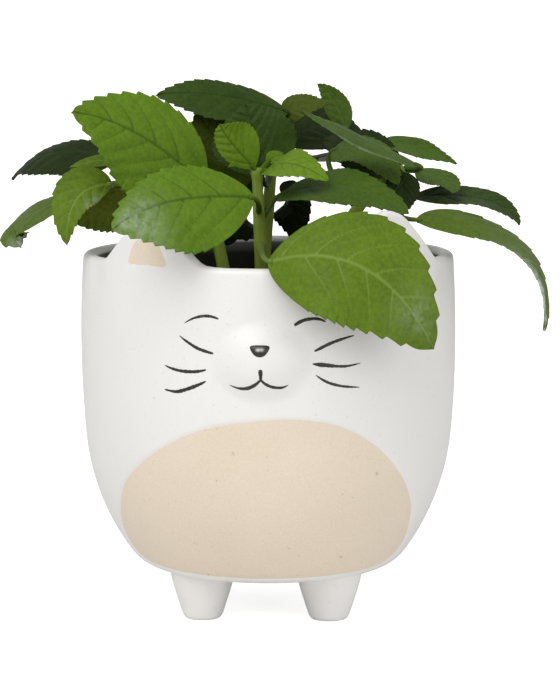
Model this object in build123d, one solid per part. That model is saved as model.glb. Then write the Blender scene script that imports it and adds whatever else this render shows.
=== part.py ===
from build123d import *
from math import asin, atan2, cos, degrees, pi, radians, sin, sqrt
import os

# Cat-shaped ceramic planter on four short feet, with a plant in a grow pot.
# Millimetres. +Z up, the face looks along -Y, X to the right of the picture.
# The origin is on the pot's axis, at the level of the feet.

# Pot: the wall seen from the side is three arcs that run into each other
POT_RADIUS = 64.8
RIM_HEIGHT = 124.5
BASE_HEIGHT = 15.5
# the widest place, as a share of RIM_HEIGHT
WAIST_SHARE = 0.771
SIDE_ARC = 420.0
BELLY_ARC = 80.0
CORNER_ARC = 14.0
SIDE_ANGLE = 4.6
WALL = 5.0
LIP_ROUND = 1.7
# how far cutting shapes run past what they cut
OVERRUN = 8.0

# Ears
EAR_HEIGHT = 20.0
EAR_ROOT = 7.0
EAR_AZIMUTH = 38.0
EAR_SPAN = 49.0
# across the ear as a share of EAR_SPAN, towards the back; height as a share of EAR_HEIGHT
EAR_INNER_SHARES = [(-0.30, 0.16), (-0.15, 0.52)]
EAR_OUTER_SHARES = [(0.25, 0.52), (0.36, 0.20)]
EAR_APEX_SHARE = 0.05

# Bare clay panels, let into the wall
PANEL_DEPTH = 1.2
PANEL_SINK = 0.2
PATCH_SPAN = 20.0
PATCH_HEIGHT = 17.0
PATCH_BASE_DROP = 1.0
PATCH_ROUND = 1.6
BELLY_HALF_WIDTH = 50.5
BELLY_HEIGHT = 58.0
BELLY_BASE = 17.8
# the panel's edge seen from the front: across as a share of BELLY_HALF_WIDTH, up of BELLY_HEIGHT
BELLY_SHARES = [
    (0.05, 1.0), (-0.52, 0.89), (-0.88, 0.64), (-1.0, 0.38), (-0.90, 0.12), (-0.45, 0.0),
    (0.42, 0.0), (0.88, 0.10), (1.0, 0.36), (0.94, 0.60), (0.62, 0.89),
]

# Feet
FOOT_RADIUS = 10.8
FOOT_TOE_RADIUS = 5.6
FOOT_EDGE = 1.1
FOOT_SPREAD = 21.7
FOOT_SINK = 9.0
FOOT_BULGE_SHARES = (0.83, 0.42)

# Face
# how far the middle of the face is above the belly panel
FACE_RISE = 18.4
MUZZLE_WIDTH = 28.0
MUZZLE_HEIGHT = 21.0
MUZZLE_RISE = 4.3
MUZZLE_SEAT = 6.0
STROKE = 1.3
NOSE_WIDTH = 6.2
NOSE_HEIGHT = 3.6
NOSE_RISE = 3.4
NOSE_ROUND = 0.7
NOSE_TIP_SHARE = 0.16
STROKE_DEPTH = 0.8
FACE_SPAN = 30.0
# strokes as three places each: across and up from the middle of the face as shares of FACE_SPAN
EYE_SHARES = [(-0.82, 0.41), (-0.62, 0.50), (-0.43, 0.465)]
WHISKER_SHARES = [
    [(-0.91, 0.28), (-0.72, 0.16), (-0.50, 0.09)],
    [(-1.06, -0.06), (-0.82, -0.115), (-0.58, -0.09)],
    [(-1.05, -0.33), (-0.78, -0.32), (-0.58, -0.225)],
]
RIGHT_EYE_SHARES = [(0.38, 0.395), (0.55, 0.47), (0.78, 0.40)]
RIGHT_WHISKER_SHARES = [
    [(0.59, 0.12), (0.79, 0.19), (1.03, 0.27)],
    [(0.57, -0.02), (0.84, -0.075), (1.09, -0.03)],
    [(0.61, -0.15), (0.86, -0.27), (1.08, -0.305)],
]
MOUTH_DROP_SHARES = [(0.012, -0.06), (0.013, -0.13), (0.014, -0.21)]
MOUTH_LEFT_SHARES = [(0.02, -0.185), (-0.11, -0.27), (-0.29, -0.235)]
MOUTH_RIGHT_SHARES = [(0.0, -0.185), (0.13, -0.265), (0.28, -0.23)]

# Drain hole and its plug
DRAIN_RADIUS = 6.0
PLUG_CLEARANCE = 0.05
PLUG_FLANGE_RADIUS = 9.0
PLUG_FLANGE = 2.0
PLUG_STEM = 5.0
PLUG_TAB_RADIUS = 3.5
PLUG_TAB = 1.6

# Grow pot and potting mix
# clearance between its base and the round of the pot's floor, and between its wall and the pot's at the top
GROW_BASE_CLEARANCE = 0.3
GROW_TOP_CLEARANCE = 11.0
GROW_HEIGHT = 92.0
GROW_WALL = 1.2
GROW_FOOT = 3.0
GROW_RIM_LIP = 2.5
GROW_RIM_HEIGHT = 6.0
GROW_HOLES = 6
GROW_HOLE_RADIUS = 4.0
GROW_HOLE_CIRCLE = 24.0
SOIL_DROP = 8.0
SOIL_ROOT_DEPTH = 16.0

# Plant
REACH = 100.0
STEM_WIDTH = 4.6
STEM_TAPER_SHARE = 0.7
LEAF_THICKNESS = 0.9
PETIOLE_WIDTH = 2.0
LEAF_TEETH = 7
TOOTH_SHARE = 0.055
# along one tooth, the place of its notch and its point, and how far out each stands
NOTCH_AND_POINT_SHARES = [(0.12, 0.0), (1.0, 1.0)]
CURVE_MARGIN_SHARE = 0.02
# leaf outline: half its width goes as sin(pi t^LEAF_SKEW)^LEAF_FULL along the blade
LEAF_SKEW = 0.72
LEAF_FULL = 0.85
# stems: foot on the soil and top, x and y, and height above the rim, as shares of REACH
STEM_SHARES = {
    "stem_front": ((-0.01, -0.18), (-0.035, -0.18, 0.30)),
    "stem_left": ((-0.12, 0.0), (-0.21, -0.04, 0.25)),
    "stem_far_left": ((-0.22, 0.06), (-0.46, 0.07, 0.26)),
    "stem_back": ((-0.04, 0.20), (0.01, 0.20, 0.46)),
    "stem_right": ((0.14, 0.02), (0.24, 0.10, 0.40)),
    "stem_far_right": ((0.22, -0.06), (0.44, -0.02, 0.14)),
}
# leaves: stem, how high on it, then the blade's base and tip as shares of REACH
# (x, y, height above the rim), width of REACH, arch and sideways bow of the length, roll in degrees
LEAF_SHARES = {
    "leaf_upper_left": ("stem_left", 0.97, (-0.23, -0.08, 0.22), (-0.66, -0.20, 0.49), 0.30, 0.05, 0.05, -60),
    "leaf_front_left": ("stem_front", 0.62, (-0.08, -0.21, 0.19), (-0.48, -0.66, 0.12), 0.31, 0.06, 0.0, -58),
    "leaf_over_rim": ("stem_front", 0.25, (0.07, -0.46, 0.09), (0.55, -0.78, -0.24), 0.38, 0.20, 0.0, 32),
    "leaf_apex_left": ("stem_front", 0.97, (-0.05, -0.20, 0.31), (-0.15, -0.26, 0.45), 0.15, 0.06, 0.0, -55),
    "leaf_apex_right": ("stem_front", 0.95, (-0.01, -0.20, 0.29), (0.22, -0.32, 0.26), 0.12, 0.14, 0.0, 40),
    "leaf_bud": ("stem_front", 0.86, (-0.02, -0.11, 0.32), (0.04, -0.05, 0.36), 0.06, 0.08, 0.0, 0),
    "leaf_top": ("stem_back", 0.96, (0.0, 0.18, 0.47), (-0.38, 0.06, 0.56), 0.24, 0.16, 0.0, -35),
    "leaf_back_face": ("stem_back", 0.72, (0.02, 0.08, 0.26), (-0.05, 0.04, 0.46), 0.30, 0.04, 0.0, 0),
    "leaf_far_left": ("stem_far_left", 0.99, (-0.51, 0.08, 0.27), (-0.935, 0.04, 0.26), 0.18, 0.14, 0.0, -35),
    "leaf_left_curl": ("stem_far_left", 0.92, (-0.49, -0.01, 0.23), (-0.83, -0.26, 0.07), 0.20, 0.22, 0.0, -20),
    "leaf_left_fold": ("stem_far_left", 0.84, (-0.52, 0.14, 0.20), (-0.71, 0.12, 0.02), 0.14, 0.10, 0.0, -40),
    "leaf_left_under": ("stem_far_left", 0.70, (-0.38, 0.20, 0.19), (-0.64, 0.36, 0.07), 0.20, 0.12, 0.0, 0),
    "leaf_spike": ("stem_right", 0.98, (0.26, 0.26, 0.43), (0.16, 0.32, 0.57), 0.12, 0.05, 0.0, -60),
    "leaf_top_under": ("stem_back", 1.0, (0.14, 0.28, 0.42), (0.01, 0.24, 0.53), 0.13, 0.10, 0.0, -30),
    "leaf_ridge": ("stem_right", 1.0, (0.22, 0.04, 0.43), (0.52, -0.14, 0.28), 0.16, 0.12, 0.0, -15),
    "leaf_right_face": ("stem_right", 0.82, (0.20, -0.04, 0.38), (0.44, -0.30, 0.22), 0.24, 0.10, 0.0, 12),
    "leaf_right_low": ("stem_front", 0.55, (0.06, -0.16, 0.20), (0.47, -0.40, 0.17), 0.20, 0.08, 0.0, 20),
    "leaf_right_light": ("stem_right", 0.90, (0.37, 0.18, 0.41), (0.65, 0.06, 0.31), 0.17, 0.12, 0.0, -20),
    "leaf_right_fold": ("stem_right", 0.70, (0.42, 0.10, 0.29), (0.62, -0.10, 0.21), 0.16, 0.16, 0.0, -20),
    "leaf_far_right": ("stem_far_right", 0.90, (0.52, 0.10, 0.17), (0.87, 0.00, 0.10), 0.20, 0.14, 0.0, -25),
    "leaf_right_droop": ("stem_far_right", 0.98, (0.50, -0.06, 0.11), (0.94, -0.26, -0.25), 0.24, 0.24, 0.0, 10),
    "leaf_back_left": ("stem_back", 0.55, (-0.16, 0.36, 0.26), (-0.40, 0.84, 0.20), 0.30, 0.14, 0.0, 20),
    "leaf_back_right": ("stem_back", 0.60, (0.06, 0.30, 0.26), (0.34, 0.58, 0.18), 0.30, 0.14, 0.0, -20),
}


def wall_arcs():
    """Centres of the side, belly and corner arcs, and the angle where belly meets corner."""
    turn = radians(SIDE_ANGLE)
    side = Vector(POT_RADIUS - SIDE_ARC, WAIST_SHARE * RIM_HEIGHT)
    belly = side + Vector(cos(turn), -sin(turn)) * (SIDE_ARC - BELLY_ARC)
    low = BASE_HEIGHT + CORNER_ARC
    apart = BELLY_ARC - CORNER_ARC
    corner = Vector(belly.X + sqrt(apart ** 2 - (belly.Y - low) ** 2), low)
    return side, belly, corner, degrees(atan2(belly.Y - low, corner.X - belly.X))


def wall_radius(height):
    """Radius of the outer wall at a height."""
    side, belly, corner, corner_angle = wall_arcs()
    if height > side.Y - SIDE_ARC * sin(radians(SIDE_ANGLE)):
        return side.X + sqrt(SIDE_ARC ** 2 - (height - side.Y) ** 2)
    if height > belly.Y - BELLY_ARC * sin(radians(corner_angle)):
        return belly.X + sqrt(BELLY_ARC ** 2 - (height - belly.Y) ** 2)
    return corner.X + sqrt(CORNER_ARC ** 2 - (height - corner.Y) ** 2)


def pot_body(top, inset=0.0):
    """The pot as if solid, its surface drawn in by inset, flat at top."""
    side, belly, corner, corner_angle = wall_arcs()
    foot = BASE_HEIGHT + inset
    top_angle = degrees(asin((top - side.Y) / (SIDE_ARC - inset)))
    with BuildLine() as line:
        Line((0, foot), (corner.X, foot))
        CenterArc(corner, CORNER_ARC - inset, -90, 90 - corner_angle)
        CenterArc(belly, BELLY_ARC - inset, -corner_angle, corner_angle - SIDE_ANGLE)
        wall = CenterArc(side, SIDE_ARC - inset, -SIDE_ANGLE, SIDE_ANGLE + top_angle)
        Line(wall @ 1, (0, top))
        Line((0, top), (0, foot))
    return revolve(Plane.XZ * make_face(line.wires()[0]), Axis.Z)


def ear_plane(side):
    """Upright plane through the pot's axis: x across the ear towards the back, y up."""
    turn = radians(EAR_AZIMUTH)
    out = Vector(side * sin(turn), -cos(turn), 0)
    across = Vector(side * cos(turn), sin(turn), 0)
    return Plane(origin=(0, 0, RIM_HEIGHT), x_dir=across, z_dir=across.cross(Vector(0, 0, 1))), out


def radial_prism(side, wire):
    """Extrude an outline drawn in the ear's plane outwards, past the wall."""
    plane, out = ear_plane(side)
    face = plane * make_face(wire)
    return extrude(face, amount=2 * POT_RADIUS, dir=out)


def ear_wire():
    """Ear outline: soft sweeps from the rim into a rounded tip, with its root below the rim."""
    half = EAR_SPAN / 2
    apex = Vector(EAR_APEX_SHARE * EAR_SPAN, EAR_HEIGHT)
    inner = [(x * EAR_SPAN, y * EAR_HEIGHT) for x, y in EAR_INNER_SHARES]
    outer = [(x * EAR_SPAN, y * EAR_HEIGHT) for x, y in EAR_OUTER_SHARES]
    with BuildLine() as line:
        Spline([(-half, 0)] + inner + [apex] + outer + [(half, 0)], tangents=[(1, 0), (1, 0)])
        Polyline((half, 0), (half, -EAR_ROOT), (-half, -EAR_ROOT), (-half, 0))
    return line.wires()[0]


def ear_zone():
    """The notch in the wall that an ear's root fills."""
    half = EAR_SPAN / 2
    with BuildLine() as line:
        Polyline((-half, OVERRUN), (half, OVERRUN), (half, -EAR_ROOT), (-half, -EAR_ROOT), close=True)
    return line.wires()[0]


def patch_wire():
    """Inner-ear panel: rounded triangle on the ear."""
    half = PATCH_SPAN / 2
    lean = EAR_APEX_SHARE * EAR_SPAN
    corners = [(-half, -PATCH_BASE_DROP), (half, -PATCH_BASE_DROP), (lean, PATCH_HEIGHT - PATCH_BASE_DROP)]
    triangle = Polygon(*corners, align=None)
    return fillet(triangle.vertices(), PATCH_ROUND).face().outer_wire()


def belly_prism():
    """Front outline of the belly panel, extruded along the view from the front."""
    points = [(x * BELLY_HALF_WIDTH, BELLY_BASE + z * BELLY_HEIGHT) for x, z in BELLY_SHARES]
    with BuildLine(Plane.XZ) as line:
        Spline(points, periodic=True)
    return extrude(make_face(line.wires()[0]), amount=2 * POT_RADIUS, dir=(0, -1, 0))


def skin_between(prism, outer, inner):
    """What lies in the prism between two nested bodies."""
    return (prism & outer) - inner


def face_height():
    return BELLY_BASE + BELLY_HEIGHT + FACE_RISE


def face_point(across, up):
    """Place on the face seen from the front, from shares of FACE_SPAN."""
    return Vector(across * FACE_SPAN, face_height() + up * FACE_SPAN)


def muzzle_halves():
    """Half sizes of the egg that the muzzle is part of: across, outwards and up."""
    deep = MUZZLE_SEAT + MUZZLE_RISE
    spread = sqrt(1 - (MUZZLE_SEAT / deep) ** 2)
    return MUZZLE_WIDTH / 2 / spread, deep, MUZZLE_HEIGHT / 2 / spread


def muzzle_egg(inset=0.0):
    """The whole egg, its surface drawn in by inset."""
    half_across, half_out, half_up = [half - inset for half in muzzle_halves()]
    egg = scale(Sphere(half_across), by=(1, half_out / half_across, half_up / half_across))
    return Pos(0, MUZZLE_SEAT - wall_radius(face_height()), face_height()) * egg


def brush_line(shares):
    """Brush line seen from the front: two arcs from point to point, a stroke apart midway."""
    start, middle, end = [face_point(*p) for p in shares]
    aside = (end - start).normalized().rotate(Axis.Z, 90) * (STROKE / 2)
    with BuildLine() as line:
        ThreePointArc(start, middle + aside, end)
        ThreePointArc(end, middle - aside, start)
    return forward(make_face(line.wires()[0]))


def forward(outline):
    """Extrude a front outline from the pot's axis to past the muzzle."""
    return extrude(Plane.XZ * outline, amount=POT_RADIUS + MUZZLE_RISE + OVERRUN)


def nose_prism():
    """Nose: rounded triangle with its point down."""
    top = face_height() + NOSE_RISE + NOSE_HEIGHT / 2
    foot = top - NOSE_HEIGHT
    tip = NOSE_TIP_SHARE * NOSE_WIDTH
    corners = [(-tip, foot), (tip, foot), (NOSE_WIDTH / 2, top), (-NOSE_WIDTH / 2, top)]
    return forward(fillet(Polygon(*corners, align=None).vertices(), NOSE_ROUND))


def let_in(outline, carriers, floors):
    """Inlay of an extruded outline: flush with its carriers, down to the floors inside them."""
    pieces = []
    for carrier in carriers:
        piece = outline & carrier
        for floor in floors:
            piece -= floor
        pieces += piece.solids()
    return pieces[0].fuse(*pieces[1:]) if len(pieces) > 1 else pieces[0]


def make_marks(body, muzzle, crest):
    """Nose, mouth, closed eyes and whiskers in dark glaze, each let into the ceramic."""
    floor = [pot_body(crest, STROKE_DEPTH)]
    whiskers = {"left_whiskers": WHISKER_SHARES, "right_whiskers": RIGHT_WHISKER_SHARES}
    marks = {"left_eye": let_in(brush_line(EYE_SHARES), [body], floor),
             "right_eye": let_in(brush_line(RIGHT_EYE_SHARES), [body], floor)}
    for name, lines in whiskers.items():
        marks[name] = Compound([let_in(brush_line(line), [body], floor) for line in lines])
    bump_floor = [muzzle_egg(STROKE_DEPTH)]
    mouth = brush_line(MOUTH_DROP_SHARES) + brush_line(MOUTH_LEFT_SHARES) + brush_line(MOUTH_RIGHT_SHARES)
    marks["mouth"] = let_in(mouth, [muzzle], bump_floor)
    marks["nose"] = let_in(nose_prism(), [muzzle], bump_floor)
    return marks


def make_foot(x, y, body):
    """Short bulging foot, cut to sit against the pot's underside."""
    bulge_r, bulge_z = FOOT_BULGE_SHARES
    with BuildLine(Plane.XZ) as line:
        Line((0, 0), (FOOT_TOE_RADIUS, 0))
        Line((FOOT_TOE_RADIUS, 0), (FOOT_TOE_RADIUS + FOOT_EDGE, FOOT_EDGE))
        ThreePointArc((FOOT_TOE_RADIUS + FOOT_EDGE, FOOT_EDGE),
                      (FOOT_RADIUS * bulge_r, BASE_HEIGHT * bulge_z), (FOOT_RADIUS, BASE_HEIGHT))
        Line((FOOT_RADIUS, BASE_HEIGHT), (FOOT_RADIUS, BASE_HEIGHT + FOOT_SINK))
        Line((FOOT_RADIUS, BASE_HEIGHT + FOOT_SINK), (0, BASE_HEIGHT + FOOT_SINK))
        Line((0, BASE_HEIGHT + FOOT_SINK), (0, 0))
    foot = revolve(make_face(line.wires()[0]), Axis.Z)
    return Pos(x, y, 0) * foot - body


def make_planter():
    """Shell, ears, feet, muzzle, bare clay panels and the face."""
    crest = RIM_HEIGHT + EAR_HEIGHT + OVERRUN
    body = pot_body(RIM_HEIGHT)
    tall = pot_body(crest)
    seat = pot_body(crest, PANEL_DEPTH)
    skin = pot_body(crest, PANEL_SINK)
    shell = body - pot_body(RIM_HEIGHT + OVERRUN, WALL)
    shell -= Pos(0, 0, BASE_HEIGHT) * Cylinder(DRAIN_RADIUS, 4 * WALL)
    lips = [e for e in shell.edges() if e.bounding_box().min.Z > RIM_HEIGHT - LIP_ROUND]
    shell = fillet(lips, LIP_ROUND)
    hollow = tall - pot_body(crest + OVERRUN, WALL)

    nodes = {}
    for side, word in ((-1, "left"), (1, "right")):
        ear = hollow & radial_prism(side, ear_wire())
        tops = [e for e in ear.edges() if e.bounding_box().max.Z > RIM_HEIGHT + EAR_HEIGHT / 2]
        ear = fillet(tops, LIP_ROUND)
        shell -= radial_prism(side, ear_zone())
        patch = radial_prism(side, patch_wire())
        nodes[f"{word}_inner_ear"] = skin_between(patch, skin, seat)
        nodes[f"{word}_ear"] = ear - skin_between(patch, tall, seat)

    belly = belly_prism()
    nodes["belly_panel"] = skin_between(belly, skin, seat)
    shell -= skin_between(belly, body, seat)

    muzzle = muzzle_egg() - body
    for name, mark in make_marks(body, muzzle, crest).items():
        nodes[name] = mark
        if name in ("nose", "mouth"):
            muzzle -= mark
        else:
            shell -= mark
    nodes["muzzle"] = muzzle
    nodes["pot_shell"] = shell
    for x, y, word in ((-1, -1, "front_left"), (1, -1, "front_right"), (-1, 1, "rear_left"), (1, 1, "rear_right")):
        nodes[f"{word}_foot"] = make_foot(x * FOOT_SPREAD, y * FOOT_SPREAD, body)
    return nodes


def make_plug():
    """Rubber plug: stem up the drain hole, flange against the underside, pull tab below."""
    stem = Cylinder(DRAIN_RADIUS - PLUG_CLEARANCE, PLUG_STEM, align=(Align.CENTER, Align.CENTER, Align.MIN))
    flange = Cylinder(PLUG_FLANGE_RADIUS, PLUG_FLANGE, align=(Align.CENTER, Align.CENTER, Align.MAX))
    tab = Cylinder(PLUG_TAB_RADIUS, PLUG_TAB, align=(Align.CENTER, Align.CENTER, Align.MAX))
    return Pos(0, 0, BASE_HEIGHT) * (stem + flange + Pos(0, 0, -PLUG_FLANGE) * tab)


def grow_radii():
    """Outer radius of the grow pot at its base and at its top."""
    top = BASE_HEIGHT + WALL + GROW_HEIGHT
    return wall_arcs()[2].X - GROW_BASE_CLEARANCE, wall_radius(top) - WALL - GROW_TOP_CLEARANCE


def make_grow_pot():
    """Thin tapered pot with a rolled rim, a raised base and drain holes."""
    floor = BASE_HEIGHT + WALL
    top = floor + GROW_HEIGHT
    base_radius, top_radius = grow_radii()
    slope = (top_radius - base_radius) / GROW_HEIGHT
    base_inner = base_radius - GROW_WALL
    outline = [
        (base_inner, floor), (base_radius, floor),
        (top_radius - slope * GROW_RIM_HEIGHT, top - GROW_RIM_HEIGHT),
        (top_radius + GROW_RIM_LIP, top - GROW_RIM_HEIGHT), (top_radius + GROW_RIM_LIP, top),
        (top_radius - GROW_WALL, top),
        (base_inner + slope * (GROW_FOOT + GROW_WALL), floor + GROW_FOOT + GROW_WALL),
        (0, floor + GROW_FOOT + GROW_WALL), (0, floor + GROW_FOOT),
        (base_inner + slope * GROW_FOOT, floor + GROW_FOOT),
    ]
    pot = revolve(Plane.XZ * make_face(Polyline(*outline, close=True)), Axis.Z)
    for hole in PolarLocations(GROW_HOLE_CIRCLE, GROW_HOLES):
        pot -= Pos(0, 0, floor + GROW_FOOT) * hole * Cylinder(GROW_HOLE_RADIUS, 2 * GROW_FOOT)
    return pot


def make_soil(stems):
    """Potting mix inside the grow pot, with the stems' feet in it."""
    floor = BASE_HEIGHT + WALL + GROW_FOOT + GROW_WALL
    pot_foot = BASE_HEIGHT + WALL
    top = soil_top()
    base_radius, top_radius = grow_radii()
    slope = (top_radius - base_radius) / GROW_HEIGHT
    base_inner = base_radius - GROW_WALL
    outline = [(0, floor), (base_inner + slope * (floor - pot_foot), floor),
               (base_inner + slope * (top - pot_foot), top), (0, top)]
    soil = revolve(Plane.XZ * make_face(Polyline(*outline, close=True)), Axis.Z)
    for stem in stems:
        soil -= stem
    return soil


def soil_top():
    return BASE_HEIGHT + WALL + GROW_HEIGHT - SOIL_DROP


def stem_ends(name):
    """Foot in the soil and top of a stem."""
    foot, tip = STEM_SHARES[name]
    return (Vector(foot[0] * REACH, foot[1] * REACH, soil_top() - SOIL_ROOT_DEPTH),
            Vector(tip[0] * REACH, tip[1] * REACH, RIM_HEIGHT + tip[2] * REACH))


def make_stem(name):
    """Square-cornered stem that gets thinner upwards."""
    foot, tip = stem_ends(name)
    lower = Plane(origin=foot, z_dir=tip - foot)
    upper = Plane(origin=tip, z_dir=tip - foot, x_dir=lower.x_dir)
    side = STEM_WIDTH * STEM_TAPER_SHARE
    return loft([lower * Rectangle(STEM_WIDTH, STEM_WIDTH), upper * Rectangle(side, side)])


def leaf_half_width(t):
    return sin(pi * t ** LEAF_SKEW) ** LEAF_FULL if 0 < t < 1 else 0


def leaf_edge(length, width, bow, side):
    """One toothed edge of the blade, base to tip: teeth point towards the tip."""
    edge = []
    for tooth in range(LEAF_TEETH):
        for step, bite in NOTCH_AND_POINT_SHARES:
            t = (tooth + step) / (LEAF_TEETH + 1)
            half = width / 2 * (leaf_half_width(t) + TOOTH_SHARE * (2 * bite - 1))
            edge.append((t * length, bow * 4 * t * (1 - t) * length + side * half))
    return edge


def make_leaf(name, stems):
    """Blade cut from an arched strip by its toothed outline, with its stalk to the stem."""
    stem, high, base, tip, width, arch, bow, roll = LEAF_SHARES[name]
    start = Vector(base[0] * REACH, base[1] * REACH, RIM_HEIGHT + base[2] * REACH)
    end = Vector(tip[0] * REACH, tip[1] * REACH, RIM_HEIGHT + tip[2] * REACH)
    chord = end - start
    length = chord.length
    along = chord.normalized()
    normal = (Vector(0, 0, 1) - along * along.Z).normalized().rotate(Axis((0, 0, 0), along), roll)
    across = normal.cross(along)
    plane = Plane(origin=start, x_dir=along, z_dir=normal)
    upper = leaf_edge(length, width * REACH, bow, 1)
    lower = leaf_edge(length, width * REACH, bow, -1)
    outline = upper + [(length, 0)] + lower[::-1]
    room = 2 * arch * length + 2 * LEAF_THICKNESS
    prism = extrude(plane * make_face(Polyline(*outline, close=True)), amount=room, both=True)

    side_plane = Plane(origin=start, x_dir=along, z_dir=across * -1)
    margin = CURVE_MARGIN_SHARE * length
    drop = 4 * arch * margin
    half = LEAF_THICKNESS / 2
    crown = arch * length
    with BuildLine() as strip:
        top = ThreePointArc((-margin, half - drop), (length / 2, crown + half), (length + margin, half - drop))
        bottom = ThreePointArc((-margin, -half - drop), (length / 2, crown - half), (length + margin, -half - drop))
        Line(top @ 0, bottom @ 0)
        Line(top @ 1, bottom @ 1)
    slab = extrude(side_plane * make_face(strip.wires()[0]), amount=width * REACH, both=True)
    blade = prism & slab

    foot, head = stem_ends(stem)
    joint = foot + (head - foot) * high
    overlap = 3 * LEAF_THICKNESS
    inside = start + along * overlap + normal * (4 * arch * overlap)
    thin = PETIOLE_WIDTH * STEM_TAPER_SHARE
    ends = [Plane(origin=joint, x_dir=across, z_dir=inside - joint),
            Plane(origin=inside, x_dir=across, z_dir=inside - joint)]
    stalk = loft([ends[0] * Rectangle(PETIOLE_WIDTH, PETIOLE_WIDTH), ends[1] * Rectangle(thin, thin)])
    leaf = blade + stalk
    return leaf - stems[stem]


def make_plant():
    """Grow pot, potting mix, stems and leaves."""
    stems = {name: make_stem(name) for name in STEM_SHARES}
    nodes = {"grow_pot": make_grow_pot(), "potting_mix": make_soil(stems.values())}
    nodes.update(stems)
    for name in LEAF_SHARES:
        nodes[name] = make_leaf(name, stems)
    return nodes


def main():
    os.makedirs("parts", exist_ok=True)
    nodes = make_planter()
    nodes["drain_plug"] = make_plug()
    nodes.update(make_plant())
    for name, shape in nodes.items():
        solids = shape.solids()
        export_step(solids[0] if len(solids) == 1 else Compound(solids), f"parts/{name}.step")


main()
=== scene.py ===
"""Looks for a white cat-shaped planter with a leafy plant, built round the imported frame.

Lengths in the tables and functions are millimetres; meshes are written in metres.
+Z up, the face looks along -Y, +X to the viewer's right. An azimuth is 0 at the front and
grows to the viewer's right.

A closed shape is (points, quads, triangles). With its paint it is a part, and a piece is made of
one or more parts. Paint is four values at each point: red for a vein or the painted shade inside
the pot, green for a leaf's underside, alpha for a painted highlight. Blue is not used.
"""
import math

import bpy
import numpy as np
from mathutils import Matrix, Vector


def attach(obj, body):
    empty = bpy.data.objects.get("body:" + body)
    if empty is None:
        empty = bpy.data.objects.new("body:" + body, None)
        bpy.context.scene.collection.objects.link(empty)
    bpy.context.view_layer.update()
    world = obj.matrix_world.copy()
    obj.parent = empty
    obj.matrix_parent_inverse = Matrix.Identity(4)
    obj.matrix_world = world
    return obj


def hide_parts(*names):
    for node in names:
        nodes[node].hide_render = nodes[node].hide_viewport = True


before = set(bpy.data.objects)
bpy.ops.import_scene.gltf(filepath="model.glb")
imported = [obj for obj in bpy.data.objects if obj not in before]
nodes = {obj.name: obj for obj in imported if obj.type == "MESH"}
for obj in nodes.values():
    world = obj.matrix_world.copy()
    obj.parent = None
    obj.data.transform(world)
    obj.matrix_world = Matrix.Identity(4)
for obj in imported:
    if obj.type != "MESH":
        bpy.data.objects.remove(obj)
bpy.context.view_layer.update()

MM = 0.001
FULL_TURN = 2 * math.pi
TINY = 1e-9

# The camera; it sees as far as CAMERA_SEES_TO metres

CAMERA_YAW = math.radians(2.3)
CAMERA_TILT = math.radians(7.3)
CAMERA_DISTANCE = 1000.0
CAMERA_ASIDE = 4.0
CAMERA_HEIGHT = 218.1
CAMERA_LENS = 149.24
CAMERA_SENSOR = 36.0
CAMERA_SEES_TO = 100.0


def unit(v):
    """A vector, or an array of them, divided by its length."""
    v = np.asarray(v, float)
    return v / np.linalg.norm(v, axis=-1, keepdims=True)


def add_object(name, data):
    """New object in the scene that holds data."""
    obj = bpy.data.objects.new(name, data)
    bpy.context.scene.collection.objects.link(obj)
    return obj


def make_camera():
    """Camera turned by CAMERA_YAW about the pot's axis and tilted down by CAMERA_TILT."""
    right = np.array([math.cos(CAMERA_YAW), math.sin(CAMERA_YAW), 0.0])
    ahead = np.array([-math.sin(CAMERA_YAW), math.cos(CAMERA_YAW), 0.0])
    up = np.array([0.0, 0.0, 1.0])
    place = -CAMERA_DISTANCE * ahead + CAMERA_ASIDE * right + CAMERA_HEIGHT * up
    look = ahead * math.cos(CAMERA_TILT) - up * math.sin(CAMERA_TILT)
    top = ahead * math.sin(CAMERA_TILT) + up * math.cos(CAMERA_TILT)
    data = bpy.data.cameras.new("camera")
    data.lens = CAMERA_LENS
    data.sensor_width = CAMERA_SENSOR
    data.clip_end = CAMERA_SEES_TO
    camera = add_object("camera", data)
    turn = Matrix((right, top, -look)).transposed().to_4x4()
    camera.matrix_world = Matrix.Translation(Vector(place * MM)) @ turn
    bpy.context.scene.camera = camera


# Closed shapes and pieces


def grid_quads(rows, columns, close_rows=False):
    """Quads of a rows by columns grid of points, numbered row by row; each row closes on itself."""
    i = np.arange(rows if close_rows else rows - 1)[:, None]
    j = np.arange(columns)[None, :]
    i2, j2 = (i + 1) % rows, (j + 1) % columns
    corners = [i * columns + j, i * columns + j2, i2 * columns + j2, i2 * columns + j]
    return np.stack(corners, -1).reshape(-1, 4)


def fan(centre, ring):
    """Triangles from one point to a closed ring of points."""
    return np.stack([np.full(len(ring), centre), ring, np.roll(ring, -1)], -1)


def closed_rings(rings, start, end):
    """Closed shape from rings of points, with a point in the middle of the first and last ring."""
    rows, n = rings.shape[:2]
    first, last = np.arange(n), (rows - 1) * n + np.arange(n)
    points = np.concatenate([rings.reshape(-1, 3), [start, end]])
    triangles = np.concatenate([fan(rows * n, first)[:, ::-1], fan(rows * n + 1, last)])
    return points, grid_quads(rows, n), triangles


def volume(points, quads, triangles):
    """Signed volume: the sum of a . (b x c) / 6 over all triangles."""
    t = np.concatenate([quads[:, [0, 1, 2]], quads[:, [0, 2, 3]], triangles])
    a, b, c = points[t[:, 0]], points[t[:, 1]], points[t[:, 2]]
    return float((a * np.cross(b, c)).sum() / 6)


def join(parts):
    """Several parts as one, their faces turned outwards and their numbers moved up."""
    joined, count = [], 0
    for points, quads, triangles, paint in parts:
        if volume(points, quads, triangles) < 0:
            quads, triangles = quads[:, ::-1], triangles[:, ::-1]
        joined.append((points, quads + count, triangles + count, paint))
        count += len(points)
    return [np.concatenate(kind) for kind in zip(*joined)]


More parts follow.
